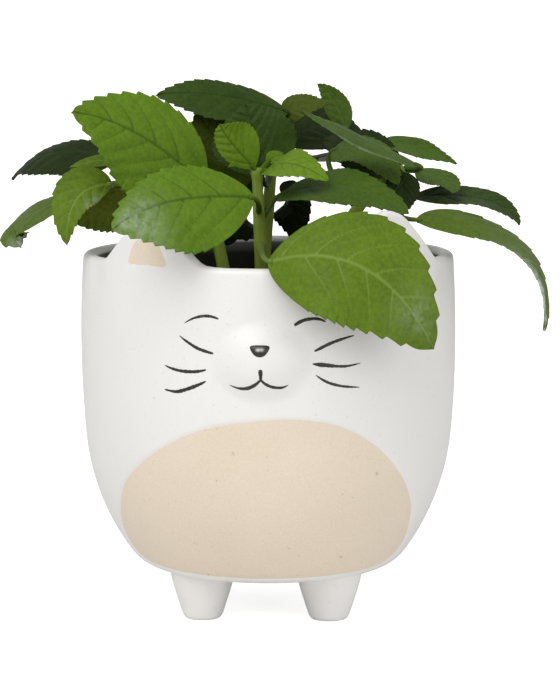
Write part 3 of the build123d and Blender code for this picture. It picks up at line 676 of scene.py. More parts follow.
LEAVES = {
    "leaf_upper_left": leaf(
        "stem_left", 0.95, (-21.9, -11, 148.4), (-44.2, -17, 171.4), (-65.1, -24, 173.5),
        (0.1, -0.82, 0.57), 19.4, 16.5, "mid", twist=11, cup=-0.1),
    "leaf_front_left": leaf(
        "stem_front", 0.7, (-2.6, -48, 146.6), (-32.9, -71, 151.1), (-46.6, -77, 138.1),
        (0.05, -1, 0.25), 17.5, 10.8, "mid", twist=-13, cup=-0.08),
    "leaf_over_rim": leaf(
        "stem_front", 0.5, (2.4, -64, 126.9), (37.7, -80, 139.2), (56.5, -66, 99.1),
        (0.1, -0.88, 0.47), 18.8, 21, "lit", twist=7, cup=-0.04, powers=(0.78, 0.66, 0.94, 0.9)),
    "leaf_right_droop": leaf(
        "stem_far_right", 0.98, (50.8, -18, 137), (100.1, -16.6, 136.1), (93.9, -36, 101.5),
        (0.72, -0.19, 0.67), 15.5, 7.7, "under", twist=-40, cup=-0.12),
    "leaf_right_low": leaf(
        "stem_front", 0.62, (5.7, -18, 145.9), (29.3, -34, 154.2), (48.2, -34, 140.6),
        (0.1, -0.5, 0.86), 10.5, 12.5, "shade", twist=7, cup=0.08, powers=(0.55, 0.65)),
    "leaf_far_left": leaf(
        "stem_far_left", 0.99, (-53.8, 12, 155.1), (-80.4, 18.8, 163.7), (-93.2, 32, 147),
        (-0.11, -0.53, 0.84), 12.3, 6.5, "deep", twist=30, cup=-0.08),
    "leaf_top": leaf(
        "stem_back", 0.96, (6.2, 16, 171.8), (-21.2, 5.9, 181.6), (-39.4, 8, 177.9),
        (0, -0.71, 0.71), 10.8, 7.4, "dark", twist=-15, cup=-0.08),
    "leaf_ridge": leaf(
        "stem_right", 1, (51.8, -9, 154.8), (29.1, -19, 165.3), (12.7, -25, 174),
        (0.3, -0.3, 0.9), 6.5, 6.5, "shade", cup=-0.12, powers=(0.8, 0.7)),
    "leaf_right_face": leaf(
        "stem_right", 0.62, (22, 12, 158.8), (36.3, 2, 163.9), (44.7, -8, 148.1),
        (0.2, -0.6, 0.75), 9, 9, "shade", cup=-0.05, powers=(0.6, 0.7)),
    "leaf_far_right": leaf(
        "stem_far_right", 0.94, (49.9, 8, 142.8), (80.3, 2.9, 146.4), (86.6, -2, 134.3),
        (0.09, -0.33, 0.94), 7.5, 8, "dark", twist=-17, cup=0.08),
    "leaf_right_light": leaf(
        "stem_right", 0.9, (38.8, 29, 161.1), (50.6, 25, 159.7), (65.2, 21, 153.8),
        (0.1, -0.44, 0.89), 6.5, 6.5, "shade", twist=1, cup=0.08),
    "leaf_right_fold": leaf(
        "stem_right", 0.98, (50.6, 11, 151.6), (63.1, 5, 150.6), (63.4, -5, 145.2),
        (0.3, -0.59, 0.75), 6.5, 6.2, "shade", twist=-5, cup=-0.12),
    "leaf_apex_right": leaf(
        "stem_front", 0.97, (-0.6, -20, 153.2), (7, -29.9, 161.2), (21.7, -34, 151.2),
        (0.09, -0.57, 0.82), 8.1, 8.9, "fresh", twist=5, cup=0.05),
    "leaf_apex_left": leaf(
        "stem_front", 0.97, (-4, -20, 154.5), (-14.4, -27.6, 166.5), (-14.8, -30, 169.5),
        (-0.02, -0.96, 0.27), 5.2, 8.6, "fresh", twist=3, cup=0.08),
    "leaf_bud": leaf(
        "stem_front", 0.965, (0.2, -15, 156), (2.8, -13, 159), (6, -10, 158.4),
        (0.3, -0.8, 0.6), 2.3, 2.3, "fresh", cup=0.15),
    "leaf_bud_left": leaf(
        "stem_front", 0.94, (-6.6, -16.4, 154.6), (-9.4, -17, 156.6), (-12.8, -18, 154.8),
        (0, -0.5, 0.85), 2.2, 2.2, "fresh", cup=0.1),
    "leaf_left_curl": leaf(
        "stem_far_left", 0.92, (-50.2, -12, 148.4), (-100.1, 11, 135.8), (-86.2, 2, 125.5),
        (-0.4, -0.27, 0.88), 11.9, 12, "under", twist=-15, cup=-0.1),
    "leaf_left_fold": leaf(
        "stem_far_left", 0.84, (-52.5, -16, 148.7), (-68.2, -22, 149.4), (-67, -26, 128.7),
        (-0.2, -0.95, 0.3), 6, 9, "lit", cup=0.05),
    "leaf_left_under": leaf(
        "stem_far_left", 0.7, (-46.4, 22, 145.3), (-60.6, 29.3, 137.1), (-69.4, 24, 131.6),
        (-0.11, -0.91, 0.41), 11, 7, "moss", twist=3),
    "leaf_left_sliver": leaf(
        "stem_far_left", 0.94, (-48.9, 4, 155), (-57.2, 0, 157.3), (-68.3, -3, 153.6),
        (0, -0.6, 0.8), 3.7, 3.4, "lit"),
    "leaf_left_shade": leaf(
        "stem_left", 0.9, (-8.6, 8, 146), (-18.8, 10.2, 165.6), (-25.8, 12, 171.9),
        (0.09, -0.95, 0.29), 12, 11, "olive"),
    "leaf_spike": leaf(
        "stem_right", 0.7, (26.1, 33, 164.6), (23.2, 37, 175.7), (16, 34, 180.9),
        (-0.1, -0.94, 0.32), 4.5, 4.5, "shade", cup=0.08),
    "leaf_top_under": leaf(
        "stem_back", 1, (3.7, 24, 168.6), (8, 20.7, 175), (20, 20, 174.4),
        (0, -0.78, 0.62), 6, 5, "olive", twist=6),
    "leaf_back_face": leaf(
        "stem_back", 0.72, (-2, -2, 150.5), (-5, -2, 168), (-8, 1, 175),
        (0.04, -0.99, 0.16), 15, 14, "dark"),
    # leaves in the tone deep, from here to leaf_low_right, are all but black: painted shade,
    # filling gaps where the plant is dark between leaves
    "leaf_right_deep": leaf(
        "stem_right", 0.8, (46.1, 22, 150.5), (31.3, 18, 159.2), (17.9, 22, 161.7),
        (0.1, -0.9, 0.4), 9, 9, "deep"),
    "leaf_gap_left": leaf(
        "stem_left", 0.8, (-17, 16, 142.7), (-24.9, 18, 144.3), (-35.6, 20, 140.6),
        (0, -0.9, 0.4), 9, 9, "deep"),
    "leaf_right_shade": leaf(
        "stem_right", 0.9, (45.7, -2, 152.1), (46.7, -4, 146.1), (45.4, -6, 136.9),
        (0.1, -0.9, 0.4), 6, 6, "deep"),
    "leaf_back_mid": leaf(
        "stem_back", 0.9, (4, 27, 160), (16, 36, 171), (32, 44, 163),
        (0, -0.7, 0.75), 13, 13, "deep"),
    "leaf_low_left": leaf(
        "stem_back", 0.46, (-6, 28, 139), (-14, 38, 143), (-17, 45, 122),
        (0, -0.9, 0.45), 14, 12, "deep"),
    "leaf_low_right": leaf(
        "stem_back", 0.52, (4, 28, 142), (8, 36, 142), (9, 42, 122),
        (0, -0.9, 0.45), 7, 9, "deep"),
    "leaf_back_left": leaf(
        "stem_back", 0.68, (-10, 28, 153), (-28, 54, 164), (-38, 83, 146),
        (0, 0.3, 0.95), 15, 15, "dark", cup=-0.05),
    "leaf_back_right": leaf(
        "stem_back", 0.76, (8, 30, 153), (30, 54, 162), (40, 79, 144),
        (0, 0.3, 0.95), 15, 15, "dark", cup=-0.05),
}

# where a blade has a painted highlight: place along and across it (-1 to 1), the two spreads, and
# strength
PAINTED_SHEENS = {
    "leaf_front_left": (0.82, 0.2, 0.20, 0.8, 0.5),
    "leaf_over_rim": (0.86, 0.1, 0.10, 0.6, 0.22),
    "leaf_right_droop": (0.88, -1.0, 0.28, 0.45, 1.3),
    "leaf_left_curl": (0.97, 0.3, 0.10, 1.2, 0.9),
    "leaf_ridge": (0.4, 1.0, 0.35, 0.12, 0.3),
    "leaf_left_fold": (0.35, 0.8, 0.2, 0.3, 0.3),
}
NO_PAINTED_SHEEN = (0.5, 0.0, 0.3, 0.5, 0.0)
UNDER_PAINTED_SHEEN = 0.5

# a blade's grid; a power under 1 sets its columns closer towards the margin
BLADE_ROWS = 150
BLADE_HALF_COLUMNS = 22
BLADE_CROWDING = 0.9
BLADE_THICKNESS = 0.42
# half width at which veins and swells have their full size
FULL_SIZE = 17.5
# teeth: share of a tooth that rises; its size as a share of the half width and of the length
TEETH = 12
TOOTH_RISE = 0.78
TOOTH_OUT = 0.05
TOOTH_FORWARD = 0.016
MARGIN_START = 0.78
EDGE_WAVE = 0.05
# side veins: their spacing along the midrib, the first one's place, and how the two sides differ
VEIN_STEP = 0.17
VEIN_FIRST = 0.06
VEIN_STAGGER = 0.3
VEIN_SQUEEZE = 0.75
VEIN_WIDTH = 0.42
VEIN_RELIEF = 0.26
VEIN_KEEL = 0.25
RIB_WIDTH = 0.75
RIB_TAPER = 0.45
RIB_RELIEF = 0.26
RIB_KEEL = 0.75
SWELL_RELIEF = 0.36

# a stalk runs on behind the blade's base before it bends to the stem: by this share of its reach
STALK_BEND = 0.4
STALK_BENDS = {"leaf_over_rim": 0.05, "leaf_front_left": 0.10}
STALK_RADIUS = 1.15
STALK_TAPER = 0.45
STALK_OVERLAP = 1.5
STALK_TINT = 0.8
STALK_ROWS = 24
JOINT_ROWS = 60


def bent_line(base, bend, tip, u):
    """Point and direction of the curve (1-u)^2 base + 2u(1-u) bend + u^2 tip."""
    base, bend, tip = (np.array(p, float) for p in (base, bend, tip))
    u = u[:, None]
    place = (1 - u) ** 2 * base + 2 * u * (1 - u) * bend + u ** 2 * tip
    return place, unit(2 * (1 - u) * (bend - base) + 2 * u * (tip - bend))


def blade_part(row, seed, painted_sheen):
    """Toothed, veined blade with two sides.

    Along the midrib's curve, the half width is W sin(pi u^a)^b. Teeth are saw waves on the margin
    that lean to the tip. Side veins are lines of equal q = u - s (0.7 + 1.7 s), where s is the
    distance from the midrib over its length; the upper side is grooved along them and swells
    between them, and the underside has keels there.
    """
    u = np.linspace(0.004, 0.997, BLADE_ROWS)
    place, along = bent_line(*row["midrib"], u)
    length = np.linalg.norm(np.diff(place, axis=0), axis=1).sum()
    aside = unit(np.cross(unit(row["facing"]), along))
    normal = np.cross(along, aside)
    turn = math.radians(row["twist"]) * (u - 0.5)[:, None]
    aside, normal = (aside * np.cos(turn) + normal * np.sin(turn),
                     normal * np.cos(turn) - aside * np.sin(turn))
    u = u[:, None]

    v = np.linspace(-1, 1, 2 * BLADE_HALF_COLUMNS + 1)
    v = np.sign(v) * np.abs(v) ** BLADE_CROWDING
    far = np.abs(v)
    minus_side, plus_side = (np.sin(math.pi * u ** a) ** b
                             for a, b in (row["powers"][:2], row["powers"][-2:]))
    width = np.where(v > 0, plus_side, minus_side) * np.where(v > 0, row["plus"], row["minus"])
    widest = max(row["plus"], row["minus"])
    size = widest / FULL_SIZE
    y = far * width

    saw = (u * TEETH) % 1.0
    saw = np.where(saw < TOOTH_RISE, saw / TOOTH_RISE, (1 - saw) / (1 - TOOTH_RISE))
    grow = step(u, 0.08, 0.22) * (1 - step(u, 0.93, 1.0))
    tooth = saw * grow * step(far, MARGIN_START, 1.0)
    out = np.sign(v) * (y + TOOTH_OUT * widest * tooth)
    forward = TOOTH_FORWARD * length * tooth

    s = y / length
    q = u - s * (0.7 + 1.7 * s)
    phase = (q - VEIN_FIRST) / VEIN_STEP + np.where(v > 0, 0.0, VEIN_STAGGER)
    off = np.abs(phase - np.round(phase)) * VEIN_STEP * length * VEIN_SQUEEZE
    fade = (1 - 0.55 * far) * step(q, 0.0, 0.05) * (1 - step(q, 0.80, 0.92))
    vein = np.exp(-(off / (VEIN_WIDTH * size ** 0.5)) ** 2) * fade
    rib = np.exp(-(y / ((RIB_WIDTH - RIB_TAPER * u) * size ** 0.5)) ** 2)
    across = np.sin(math.pi * np.clip(far, 0, 1)) ** 0.7
    swell = np.sin(math.pi * phase) ** 2 * across * step(q, 0, 0.06)
    waves = 1.7 * u + 0.13 * seed
    wave = np.sin(FULL_TURN * waves + np.where(v > 0, 0, 2.0)) * far ** 2
    relief = SWELL_RELIEF * swell - VEIN_RELIEF * vein - RIB_RELIEF * rib
    lift = row["cup"] * y * far + EDGE_WAVE * width * wave + size ** 0.8 * relief

    top = (place[:, None] + aside[:, None] * out[..., None] + along[:, None] * forward[..., None]
           + normal[:, None] * lift[..., None])
    thick = (BLADE_THICKNESS * (1 - 0.6 * far ** 4) + VEIN_KEEL * vein
             + RIB_KEEL * rib * (1 - 0.6 * u))
    under = top - normal[:, None] * thick[..., None]
    rings = np.concatenate([top, under[:, ::-1]], 1)
    shape = closed_rings(rings, place[0] - along[0] * 0.2, place[-1] + along[-1] * 0.5)

    mark = np.maximum(vein * min(0.95, 0.5 + 0.45 * size), rib)
    # painted highlight: a pale patch mixed into the colour where the blade would shine
    u0, v0, u_spread, v_spread, strength = painted_sheen
    painted_gleam = strength * np.exp(-((u - u0) / u_spread) ** 2 - ((v - v0) / v_spread) ** 2)
    none = np.zeros_like(mark)
    paint = np.stack([
        np.concatenate([mark, mark[:, ::-1]], 1),
        np.concatenate([none, none + 1], 1),
        np.concatenate([none, none], 1),
        np.concatenate([painted_gleam, UNDER_PAINTED_SHEEN * painted_gleam[:, ::-1]], 1)], -1).reshape(-1, 4)
    paint = np.concatenate([paint, [[1, 0, 0, 0], [0, 0, 0, painted_gleam[-1].max()]]])
    return (*shape, paint), place[0], along[0]


def rod_part(path, radius, squareness, tint):
    """Rod along a path: rings of a superellipse with the power squareness, and closed ends."""
    along = unit(np.gradient(path, axis=0))
    aside = unit(np.cross(along, [0.3, -1.0, 0.1]))
    other = np.cross(along, aside)
    theta = np.linspace(0, FULL_TURN, ROD_COLUMNS, endpoint=False)
    c, s = np.cos(theta), np.sin(theta)
    size = (np.abs(c) ** squareness + np.abs(s) ** squareness) ** (-1 / squareness)
    reach = radius[:, None] * size
    rings = (path[:, None] + aside[:, None] * (reach * c)[..., None]
             + other[:, None] * (reach * s)[..., None])
    shape = closed_rings(rings, path[0], path[-1])
    return (*shape, np.tile([tint, 0.0, 0.0, 0.0], (len(shape[0]), 1)))


def leaf_parts(name, seed):
    """A blade, and the stalk that bends from its stem to the blade's base."""
    row = LEAVES[name]
    blade, base, along = blade_part(row, seed, PAINTED_SHEENS.get(name, NO_PAINTED_SHEEN))
    joint = open_spline(STEMS[row["stem"]], JOINT_ROWS)[int(row["high"] * (JOINT_ROWS - 1))]
    back = STALK_BENDS.get(name, STALK_BEND) * np.linalg.norm(base - joint)
    u = np.linspace(0, 1, STALK_ROWS)
    path, _ = bent_line(joint, base - along * back, base + along * STALK_OVERLAP, u)
    return [blade, rod_part(path, STALK_RADIUS - STALK_TAPER * u, 2.0, STALK_TINT)]


def stem_parts(name):
    """Squarish rod that thins upwards and swells a little where each leaf leaves it."""
    t = np.linspace(0, 1, STEM_ROWS)
    radius = STEM_RADIUS * (1 - STEM_TAPER * t)
    for row in LEAVES.values():
        if row["stem"] == name:
            away = (t - min(row["high"], KNOT_HIGHEST)) / KNOT_SHARE
            radius = radius * (1 + KNOT_SWELL * np.exp(-away ** 2))
    return [rod_part(open_spline(STEMS[name], STEM_ROWS), radius, STEM_SQUARENESS, STEM_TINT)]


SOIL_TOP = 104.5
SOIL_FLOOR = 24.7
SOIL_RADIUS = 45.2
SOIL_FLOOR_RADIUS = 36.4
SOIL_RINGS = 60
SOIL_COLUMNS = 160
SOIL_MIDDLE = 0.02
LUMP_SHRINK = 0.35
SOIL_SAG = 0.3
LUMP_HEIGHT = 0.9
# lumps of the soil: waves a mm in two directions, and phase
LUMPS = [(0.61, 0.37, 0.3), (-0.47, 0.71, 1.1), (0.93, -0.83, 2.2), (1.37, 0.53, 0.7),
         (-1.1, 1.61, 1.9), (2.1, -1.3, 2.9)]


def soil_parts():
    """Crumbly plug of potting mix: its height is a sum of sines in x and y, level at the edge."""
    shares = np.linspace(SOIL_MIDDLE, 1.0, SOIL_RINGS)[:, None]
    theta = np.linspace(0, FULL_TURN, SOIL_COLUMNS, endpoint=False)
    c, s = np.cos(theta), np.sin(theta)
    x, y = shares * SOIL_RADIUS * c, shares * SOIL_RADIUS * s
    lumps = np.zeros_like(x)
    for k, (a, b, p) in enumerate(LUMPS):
        lump = np.sin(a * x + b * y + p) * np.cos(b * x - a * y - p)
        lumps = lumps + lump / (1 + LUMP_SHRINK * k)
    z = SOIL_TOP - SOIL_SAG + LUMP_HEIGHT * lumps * (1 - step(shares, 0.9, 1.0))
    floor = [c * SOIL_FLOOR_RADIUS, s * SOIL_FLOOR_RADIUS, np.full(SOIL_COLUMNS, SOIL_FLOOR)]
    rings = np.concatenate([np.stack([x, y, z], -1), np.stack(floor, -1)[None]])
    shape = closed_rings(rings, [0, 0, z[0].mean()], [0, 0, SOIL_FLOOR])
    return [(*shape, no_paint(shape[0]))]


# Materials

DARKER_GREEN = 0.55
LIGHTER_GREEN = 1.5
UNDER_VEIN = 1.7
# pale colour mixed in for the painted highlight on the leaves
LEAF_PAINTED_HIGHLIGHT = (0.55, 0.60, 0.52)
LEAF_SPECULAR = 0.14
STEM_SPECULAR = 0.2


def tinted(colour, factor):
    """A colour made lighter or darker, no brighter than 1."""
    return tuple(min(c * factor, 1) for c in colour)


class Look:
    """A node material with one shader, and short names for the nodes used here."""

    def __init__(self, name, roughness, colour=(0.8, 0.8, 0.8)):
        self.material = bpy.data.materials.new(name)
        self.material.use_nodes = True
        self.nodes = self.material.node_tree.nodes
        self.links = self.material.node_tree.links
        self.shader = self.nodes["Principled BSDF"]
        self.shader.inputs["Base Color"].default_value = (*colour, 1)
        self.shader.inputs["Roughness"].default_value = roughness
        self.place = self.nodes.new("ShaderNodeTexCoord").outputs["Object"]

    def noise(self, scale, detail=3.0, rough=0.5):
        """Soft noise on Object coordinates, scale to a metre."""
        node = self.nodes.new("ShaderNodeTexNoise")
        node.inputs["Scale"].default_value = scale
        node.inputs["Detail"].default_value = detail
        node.inputs["Roughness"].default_value = rough
        self.links.new(self.place, node.inputs["Vector"])
        return node.outputs["Fac"]

    def ramp(self, value, stops):
        """Colours or greys at the stops, and blends between them."""
        node = self.nodes.new("ShaderNodeValToRGB")
        ramp = node.color_ramp
        while len(ramp.elements) < len(stops):
            ramp.elements.new(0.5)
        for element, (position, colour) in zip(ramp.elements, stops):
            element.position = position
            element.color = (*colour, 1) if isinstance(colour, tuple) else (*[colour] * 3, 1)
        self.links.new(value, node.inputs["Fac"])
        return node.outputs["Color"]

    def mix(self, share, first, second):
        """Two colours mixed by a share; each of the three is a value or another node's output."""
        node = self.nodes.new("ShaderNodeMix")
        node.data_type = "RGBA"
        for socket, value in zip((node.inputs[0], node.inputs[6], node.inputs[7]),
                                 (share, first, second)):
            if isinstance(value, bpy.types.NodeSocket):
                self.links.new(value, socket)
            else:
                socket.default_value = (*value, 1) if isinstance(value, tuple) else value
        return node.outputs[2]

    def paint(self, channel):
        """One of the red and green values that the mesh carries."""
        split = self.nodes.new("ShaderNodeSeparateColor")
        self.links.new(self.painted("Color"), split.inputs["Color"])
        return split.outputs[channel]

    def painted(self, output):
        """The paint that the mesh carries, as a colour or its alpha."""
        attribute = self.nodes.new("ShaderNodeAttribute")
        attribute.attribute_name = "paint"
        return attribute.outputs[output]

    def painted_gleam(self):
        """Painted highlight where the mesh's paint sets it, broken up by fine noise."""
        node = self.nodes.new("ShaderNodeMath")
        node.operation = "MULTIPLY"
        broken = self.ramp(self.noise(420, 4, 0.65), [(0.36, 0.12), (0.64, 1.0)])
        self.links.new(self.painted("Alpha"), node.inputs[0])
        self.links.new(broken, node.inputs[1])
        return node.outputs["Value"]

    def colour(self, socket):
        """Base colour from another node's output."""
        self.links.new(socket, self.shader.inputs["Base Color"])

    def rough(self, value, low, high):
        """Roughness that follows a value from low to high."""
        node = self.nodes.new("ShaderNodeMapRange")
        node.inputs["To Min"].default_value = low
        node.inputs["To Max"].default_value = high
        self.links.new(value, node.inputs["Value"])
        self.links.new(node.outputs["Result"], self.shader.inputs["Roughness"])

    def bump(self, height, distance, strength):
        """Fine relief, its depth in metres."""
        node = self.nodes.new("ShaderNodeBump")
        node.inputs["Distance"].default_value = distance
        node.inputs["Strength"].default_value = strength
        self.links.new(height, node.inputs["Height"])
        self.links.new(node.outputs["Normal"], self.shader.inputs["Normal"])


def white_glaze():
    """Satin white glaze with faint specks; painted shade turns it near black inside the pot."""
    look = Look("white_glaze", 0.36)
    broad = look.noise(22, 2)
    specks = look.ramp(look.noise(900, 2), [(0.25, 0.0), (0.33, 1.0)])
    white = look.ramp(broad, [(0.3, (0.875, 0.860, 0.842)), (0.7, (0.905, 0.892, 0.876))])
    # painted shade: the near-black colour of the pot's inside
    inside = look.ramp(broad, [(0.3, (0.016, 0.017, 0.012)), (0.7, (0.032, 0.032, 0.026))])
    coat = look.mix(specks, (0.80, 0.77, 0.73), white)
    look.colour(look.mix(look.paint("Red"), coat, inside))
    look.rough(broad, 0.30, 0.44)
    look.bump(look.noise(140, 3), 0.00012, 0.5)
    return look.material


def bare_clay():
    """Matt clay with a fine grain, and light and dark pits."""
    look = Look("bare_clay", 0.88)
    cloud, grain, pits = look.noise(35, 3), look.noise(1400, 3, 0.7), look.noise(520, 2)
    body = look.ramp(cloud, [(0.3, (0.80, 0.690, 0.550)), (0.7, (0.845, 0.735, 0.600))])
    light = look.mix(look.ramp(pits, [(0.72, 0.0), (0.78, 1.0)]), body, (0.90, 0.83, 0.72))
    dark = look.mix(look.ramp(pits, [(0.24, 1.0), (0.29, 0.0)]), light, (0.60, 0.48, 0.36))
    grains = look.ramp(grain, [(0.3, (0.70, 0.59, 0.46)), (0.7, (0.95, 0.86, 0.74))])
    look.colour(look.mix(0.25, dark, grains))
    holes = look.ramp(pits, [(0.22, 0.0), (0.34, 1.0)])
    look.bump(look.mix(0.5, grain, holes), 0.00018, 0.6)
    return look.material


def dark_glaze():
    """Brown-black brush glaze, streaky, with a painted highlight where the paint sets it."""
    look = Look("dark_glaze", 0.30)
    streak = look.noise(750, 3, 0.6)
    ink = look.ramp(streak, [(0.35, (0.016, 0.014, 0.012)), (0.6, (0.030, 0.027, 0.024)),
                             (0.78, (0.12, 0.115, 0.11))])
    # painted highlight: pale grey mixed in where the paint's alpha is set
    look.colour(look.mix(look.painted_gleam(), ink, (0.85, 0.84, 0.82)))
    look.rough(streak, 0.22, 0.5)
    return look.material


def moulded(name, colour, roughness, grain):
    """Moulded plastic or rubber with a fine grain."""
    look = Look(name, roughness, colour)
    fine = look.noise(grain, 3)
    look.colour(look.ramp(fine, [(0.3, tinted(colour, 0.8)), (0.7, tinted(colour, 1.3))]))
    look.rough(fine, roughness - 0.08, roughness + 0.1)
    look.bump(fine, 0.0001, 0.5)
    return look.material


def potting_soil():
    """Dark crumbs of bark and peat."""
    look = Look("potting_soil", 0.95)
    crumbs = look.noise(420, 5, 0.65)
    look.colour(look.ramp(crumbs, [(0.3, (0.012, 0.008, 0.005)), (0.55, (0.035, 0.022, 0.013)),
                                   (0.75, (0.10, 0.065, 0.035))]))
    look.bump(crumbs, 0.0012, 0.9)
    return look.material


def leaf_look(name, top, top_light, under, vein, gloss):
    """Blade colours: two greens in soft patches, veins and underside by the paint values, and a
    painted highlight.
    """
    look = Look(name, gloss)
    cloud, cells = look.noise(55, 3), look.noise(700, 4, 0.6)
    patches = look.ramp(cloud, [(0.3, top), (0.7, top_light)])
    specks = look.ramp(cells, [(0.35, tinted(top, DARKER_GREEN)),
                               (0.65, tinted(top_light, LIGHTER_GREEN))])
    green = look.mix(0.22, patches, specks)
    veins = look.ramp(look.paint("Red"), [(0.25, 0.0), (0.95, 0.75)])
    under_veins = look.ramp(look.paint("Red"), [(0.2, 0.0), (0.9, 0.6)])
    upper_side = look.mix(veins, green, vein)
    underside = look.mix(under_veins, under, tinted(under, UNDER_VEIN))
    sides = look.mix(look.paint("Green"), upper_side, underside)
    look.colour(look.mix(look.painted_gleam(), sides, LEAF_PAINTED_HIGHLIGHT))
    look.rough(cloud, gloss - 0.06, gloss + 0.12)
    look.shader.inputs["Specular IOR Level"].default_value = LEAF_SPECULAR
    look.bump(cells, 0.00030, 0.55)
    return look.material


def green_stem():
    """Yellow-green stem, lighter by its paint."""
    look = Look("green_stem", 0.45)
    green = look.ramp(look.noise(60, 2), [(0.3, (0.150, 0.220, 0.018)),
                                          (0.7, (0.215, 0.290, 0.028))])
    look.colour(look.mix(look.paint("Red"), green, (0.24, 0.34, 0.06)))
    look.shader.inputs["Specular IOR Level"].default_value = STEM_SPECULAR
    look.bump(look.noise(500, 3), 0.00015, 0.4)
    return look.material


# each tone's upper side, its lighter patches, underside, veins, and roughness; shade, dark and deep
# are darker copies of the same greens, painted shade for leaves that sit in shadow, deep all but
# black
TONES = {
    "mid": ((0.092, 0.180, 0.006), (0.120, 0.225, 0.012), (0.085, 0.130, 0.015),
            (0.040, 0.088, 0.004), 0.46),
    "lit": ((0.085, 0.155, 0.007), (0.125, 0.205, 0.012), (0.080, 0.120, 0.012),
            (0.21, 0.30, 0.06), 0.46),
    "fresh": ((0.110, 0.205, 0.008), (0.145, 0.255, 0.016), (0.10, 0.16, 0.02),
              (0.055, 0.105, 0.006), 0.50),
    "shade": ((0.045, 0.090, 0.006), (0.065, 0.125, 0.010), (0.050, 0.080, 0.010),
              (0.075, 0.13, 0.02), 0.46),
    "dark": ((0.022, 0.048, 0.003), (0.036, 0.074, 0.006), (0.030, 0.050, 0.008),
             (0.018, 0.040, 0.003), 0.44),
    "deep": ((0.010, 0.022, 0.002), (0.018, 0.034, 0.003), (0.012, 0.022, 0.002),
             (0.022, 0.042, 0.004), 0.50),
    "moss": ((0.085, 0.120, 0.005), (0.120, 0.155, 0.008), (0.075, 0.10, 0.006),
             (0.13, 0.17, 0.015), 0.5),
    "olive": ((0.050, 0.078, 0.004), (0.070, 0.100, 0.006), (0.050, 0.070, 0.005),
              (0.08, 0.11, 0.01), 0.55),
    "under": ((0.072, 0.125, 0.008), (0.092, 0.155, 0.012), (0.070, 0.110, 0.012),
              (0.10, 0.16, 0.02), 0.42),
}

# Floor and light

# half the floor's width, in metres
FLOOR_REACH = 40.0
FLOOR_COLOUR = (0.86, 0.86, 0.86, 1)
FLOOR_ROUGHNESS = 0.9
FLOOR_GLOW = 0.75
WORLD_COLOUR = (1.0, 0.995, 0.985, 1)
WORLD_STRENGTH = 0.55
WHITE = (1, 1, 1, 1)
# lamps: place and target in metres, size, power and colour
LAMPS = {
    "key": ((-0.60, -1.0, 1.30), (0, 0, 0.09), 1.2, 13.0, (1.0, 0.99, 0.97)),
    "fill": ((0.9, -0.9, 0.5), (0, 0, 0.08), 0.9, 3.0, (1, 1, 1)),
}


def make_lamp(name, place, target, size, power, colour):
    """Square lamp that looks from its place to its target."""
    data = bpy.data.lights.new(name, "AREA")
    data.shape = "SQUARE"
    data.size = size
    data.energy = power
    data.color = colour
    turn = (Vector(target) - Vector(place)).to_track_quat("-Z", "Y").to_matrix().to_4x4()
    add_object(name, data).matrix_world = Matrix.Translation(Vector(place)) @ turn


def make_floor():
    """Matt white floor that keeps the shadow, with a glow that only the camera sees."""
    mesh = bpy.data.meshes.new("floor")
    signs = ((-1, -1), (1, -1), (1, 1), (-1, 1))
    corners = [(x * FLOOR_REACH, y * FLOOR_REACH, 0) for x, y in signs]
    mesh.from_pydata(corners, [], [(0, 1, 2, 3)])
    material = bpy.data.materials.new("floor_white")
    material.use_nodes = True
    tree = material.node_tree
    shader = tree.nodes["Principled BSDF"]
    shader.inputs["Base Color"].default_value = FLOOR_COLOUR
    shader.inputs["Roughness"].default_value = FLOOR_ROUGHNESS
    path = tree.nodes.new("ShaderNodeLightPath")
    scale = tree.nodes.new("ShaderNodeMath")
    scale.operation = "MULTIPLY"
    scale.inputs[1].default_value = FLOOR_GLOW
    glow = tree.nodes.new("ShaderNodeEmission")
    add = tree.nodes.new("ShaderNodeAddShader")
    tree.links.new(path.outputs["Is Camera Ray"], scale.inputs[0])
    tree.links.new(scale.outputs["Value"], glow.inputs["Strength"])
    tree.links.new(shader.outputs["BSDF"], add.inputs[0])
    tree.links.new(glow.outputs["Emission"], add.inputs[1])
    tree.links.new(add.outputs["Shader"], tree.nodes["Material Output"].inputs["Surface"])
    mesh.materials.append(material)
    floor = add_object("floor", mesh)


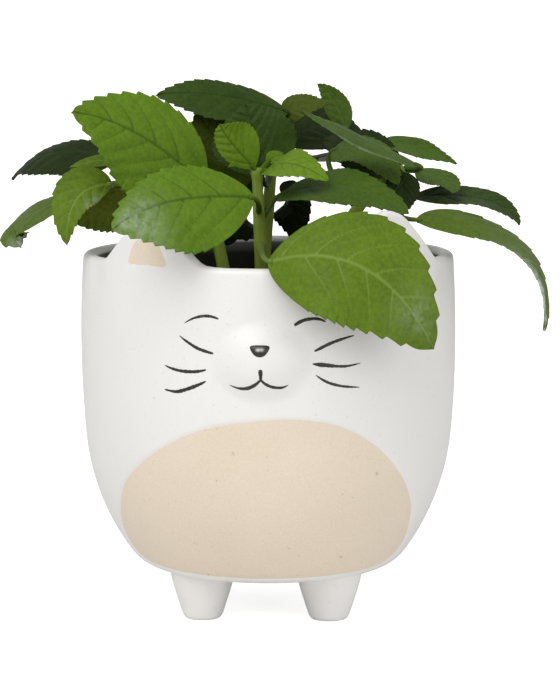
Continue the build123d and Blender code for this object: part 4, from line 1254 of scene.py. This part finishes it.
def make_world():
    """World that lights the object softly, and is plain white to the camera."""
    world = bpy.data.worlds.new("world")
    world.use_nodes = True
    bpy.context.scene.world = world
    tree = world.node_tree
    light = tree.nodes["Background"]
    light.inputs["Color"].default_value = WORLD_COLOUR
    light.inputs["Strength"].default_value = WORLD_STRENGTH
    seen = tree.nodes.new("ShaderNodeBackground")
    seen.inputs["Color"].default_value = WHITE
    seen.inputs["Strength"].default_value = 1.0
    path = tree.nodes.new("ShaderNodeLightPath")
    blend = tree.nodes.new("ShaderNodeMixShader")
    tree.links.new(path.outputs["Is Camera Ray"], blend.inputs["Fac"])
    tree.links.new(light.outputs["Background"], blend.inputs[1])
    tree.links.new(seen.outputs["Background"], blend.inputs[2])
    tree.links.new(blend.outputs["Shader"], tree.nodes["World Output"].inputs["Surface"])


make_camera()
make_floor()
make_world()
for name, lamp in LAMPS.items():
    make_lamp(name, *lamp)
bpy.context.scene.view_settings.view_transform = "Standard"

glaze, clay, brush = white_glaze(), bare_clay(), dark_glaze()
greens = {tone: leaf_look(f"leaf_{tone}", *colours) for tone, colours in TONES.items()}
stem_green = green_stem()

piece("cat_pot", pot_parts(), glaze, "planter",
      ("pot_shell", "left_ear", "right_ear", "muzzle"))
piece("belly", panel_parts(BELLY_OUTLINE, from_front, BELLY_RINGS), clay, "planter",
      ("belly_panel",))
for word, side in (("left", -1), ("right", 1)):
    piece(f"{word}_ear_clay", panel_parts(PATCH_OUTLINE, on_ear(side), PATCH_RINGS), clay,
          "planter", (f"{word}_inner_ear",))
for k, (word, x, y) in enumerate([("front_left", -1, -1), ("front_right", 1, -1),
                                  ("rear_left", -1, 1), ("rear_right", 1, 1)]):
    piece(f"{word}_leg", foot_parts(x * FOOT_SPREAD, y * FOOT_SPREAD, FOOT_TURN * k), glaze,
          "planter", (f"{word}_foot",))
for name, lines in STROKES.items():
    piece(f"{name}_brush", [stroke_parts(line) for line in lines], brush, "planter",
          (name,))
piece("nose_button", nose_parts(), brush, "planter", ("nose",))
piece("soil", soil_parts(), potting_soil(), "plant", ("potting_mix",))
for name in STEMS:
    piece(f"{name}_rod", stem_parts(name), stem_green, "plant", (name,))
for k, name in enumerate(LEAVES):
    piece(f"{name}_blade", leaf_parts(name, k), greens[LEAVES[name]["tone"]], "plant",
          (name,) if name in nodes else ())

for name, look in (("grow_pot", moulded("black_plastic", (0.018, 0.018, 0.019), 0.55, 260)),
                   ("drain_plug", moulded("plug_rubber", (0.025, 0.025, 0.025), 0.75, 500))):
    nodes[name].data.materials.clear()
    nodes[name].data.materials.append(look)
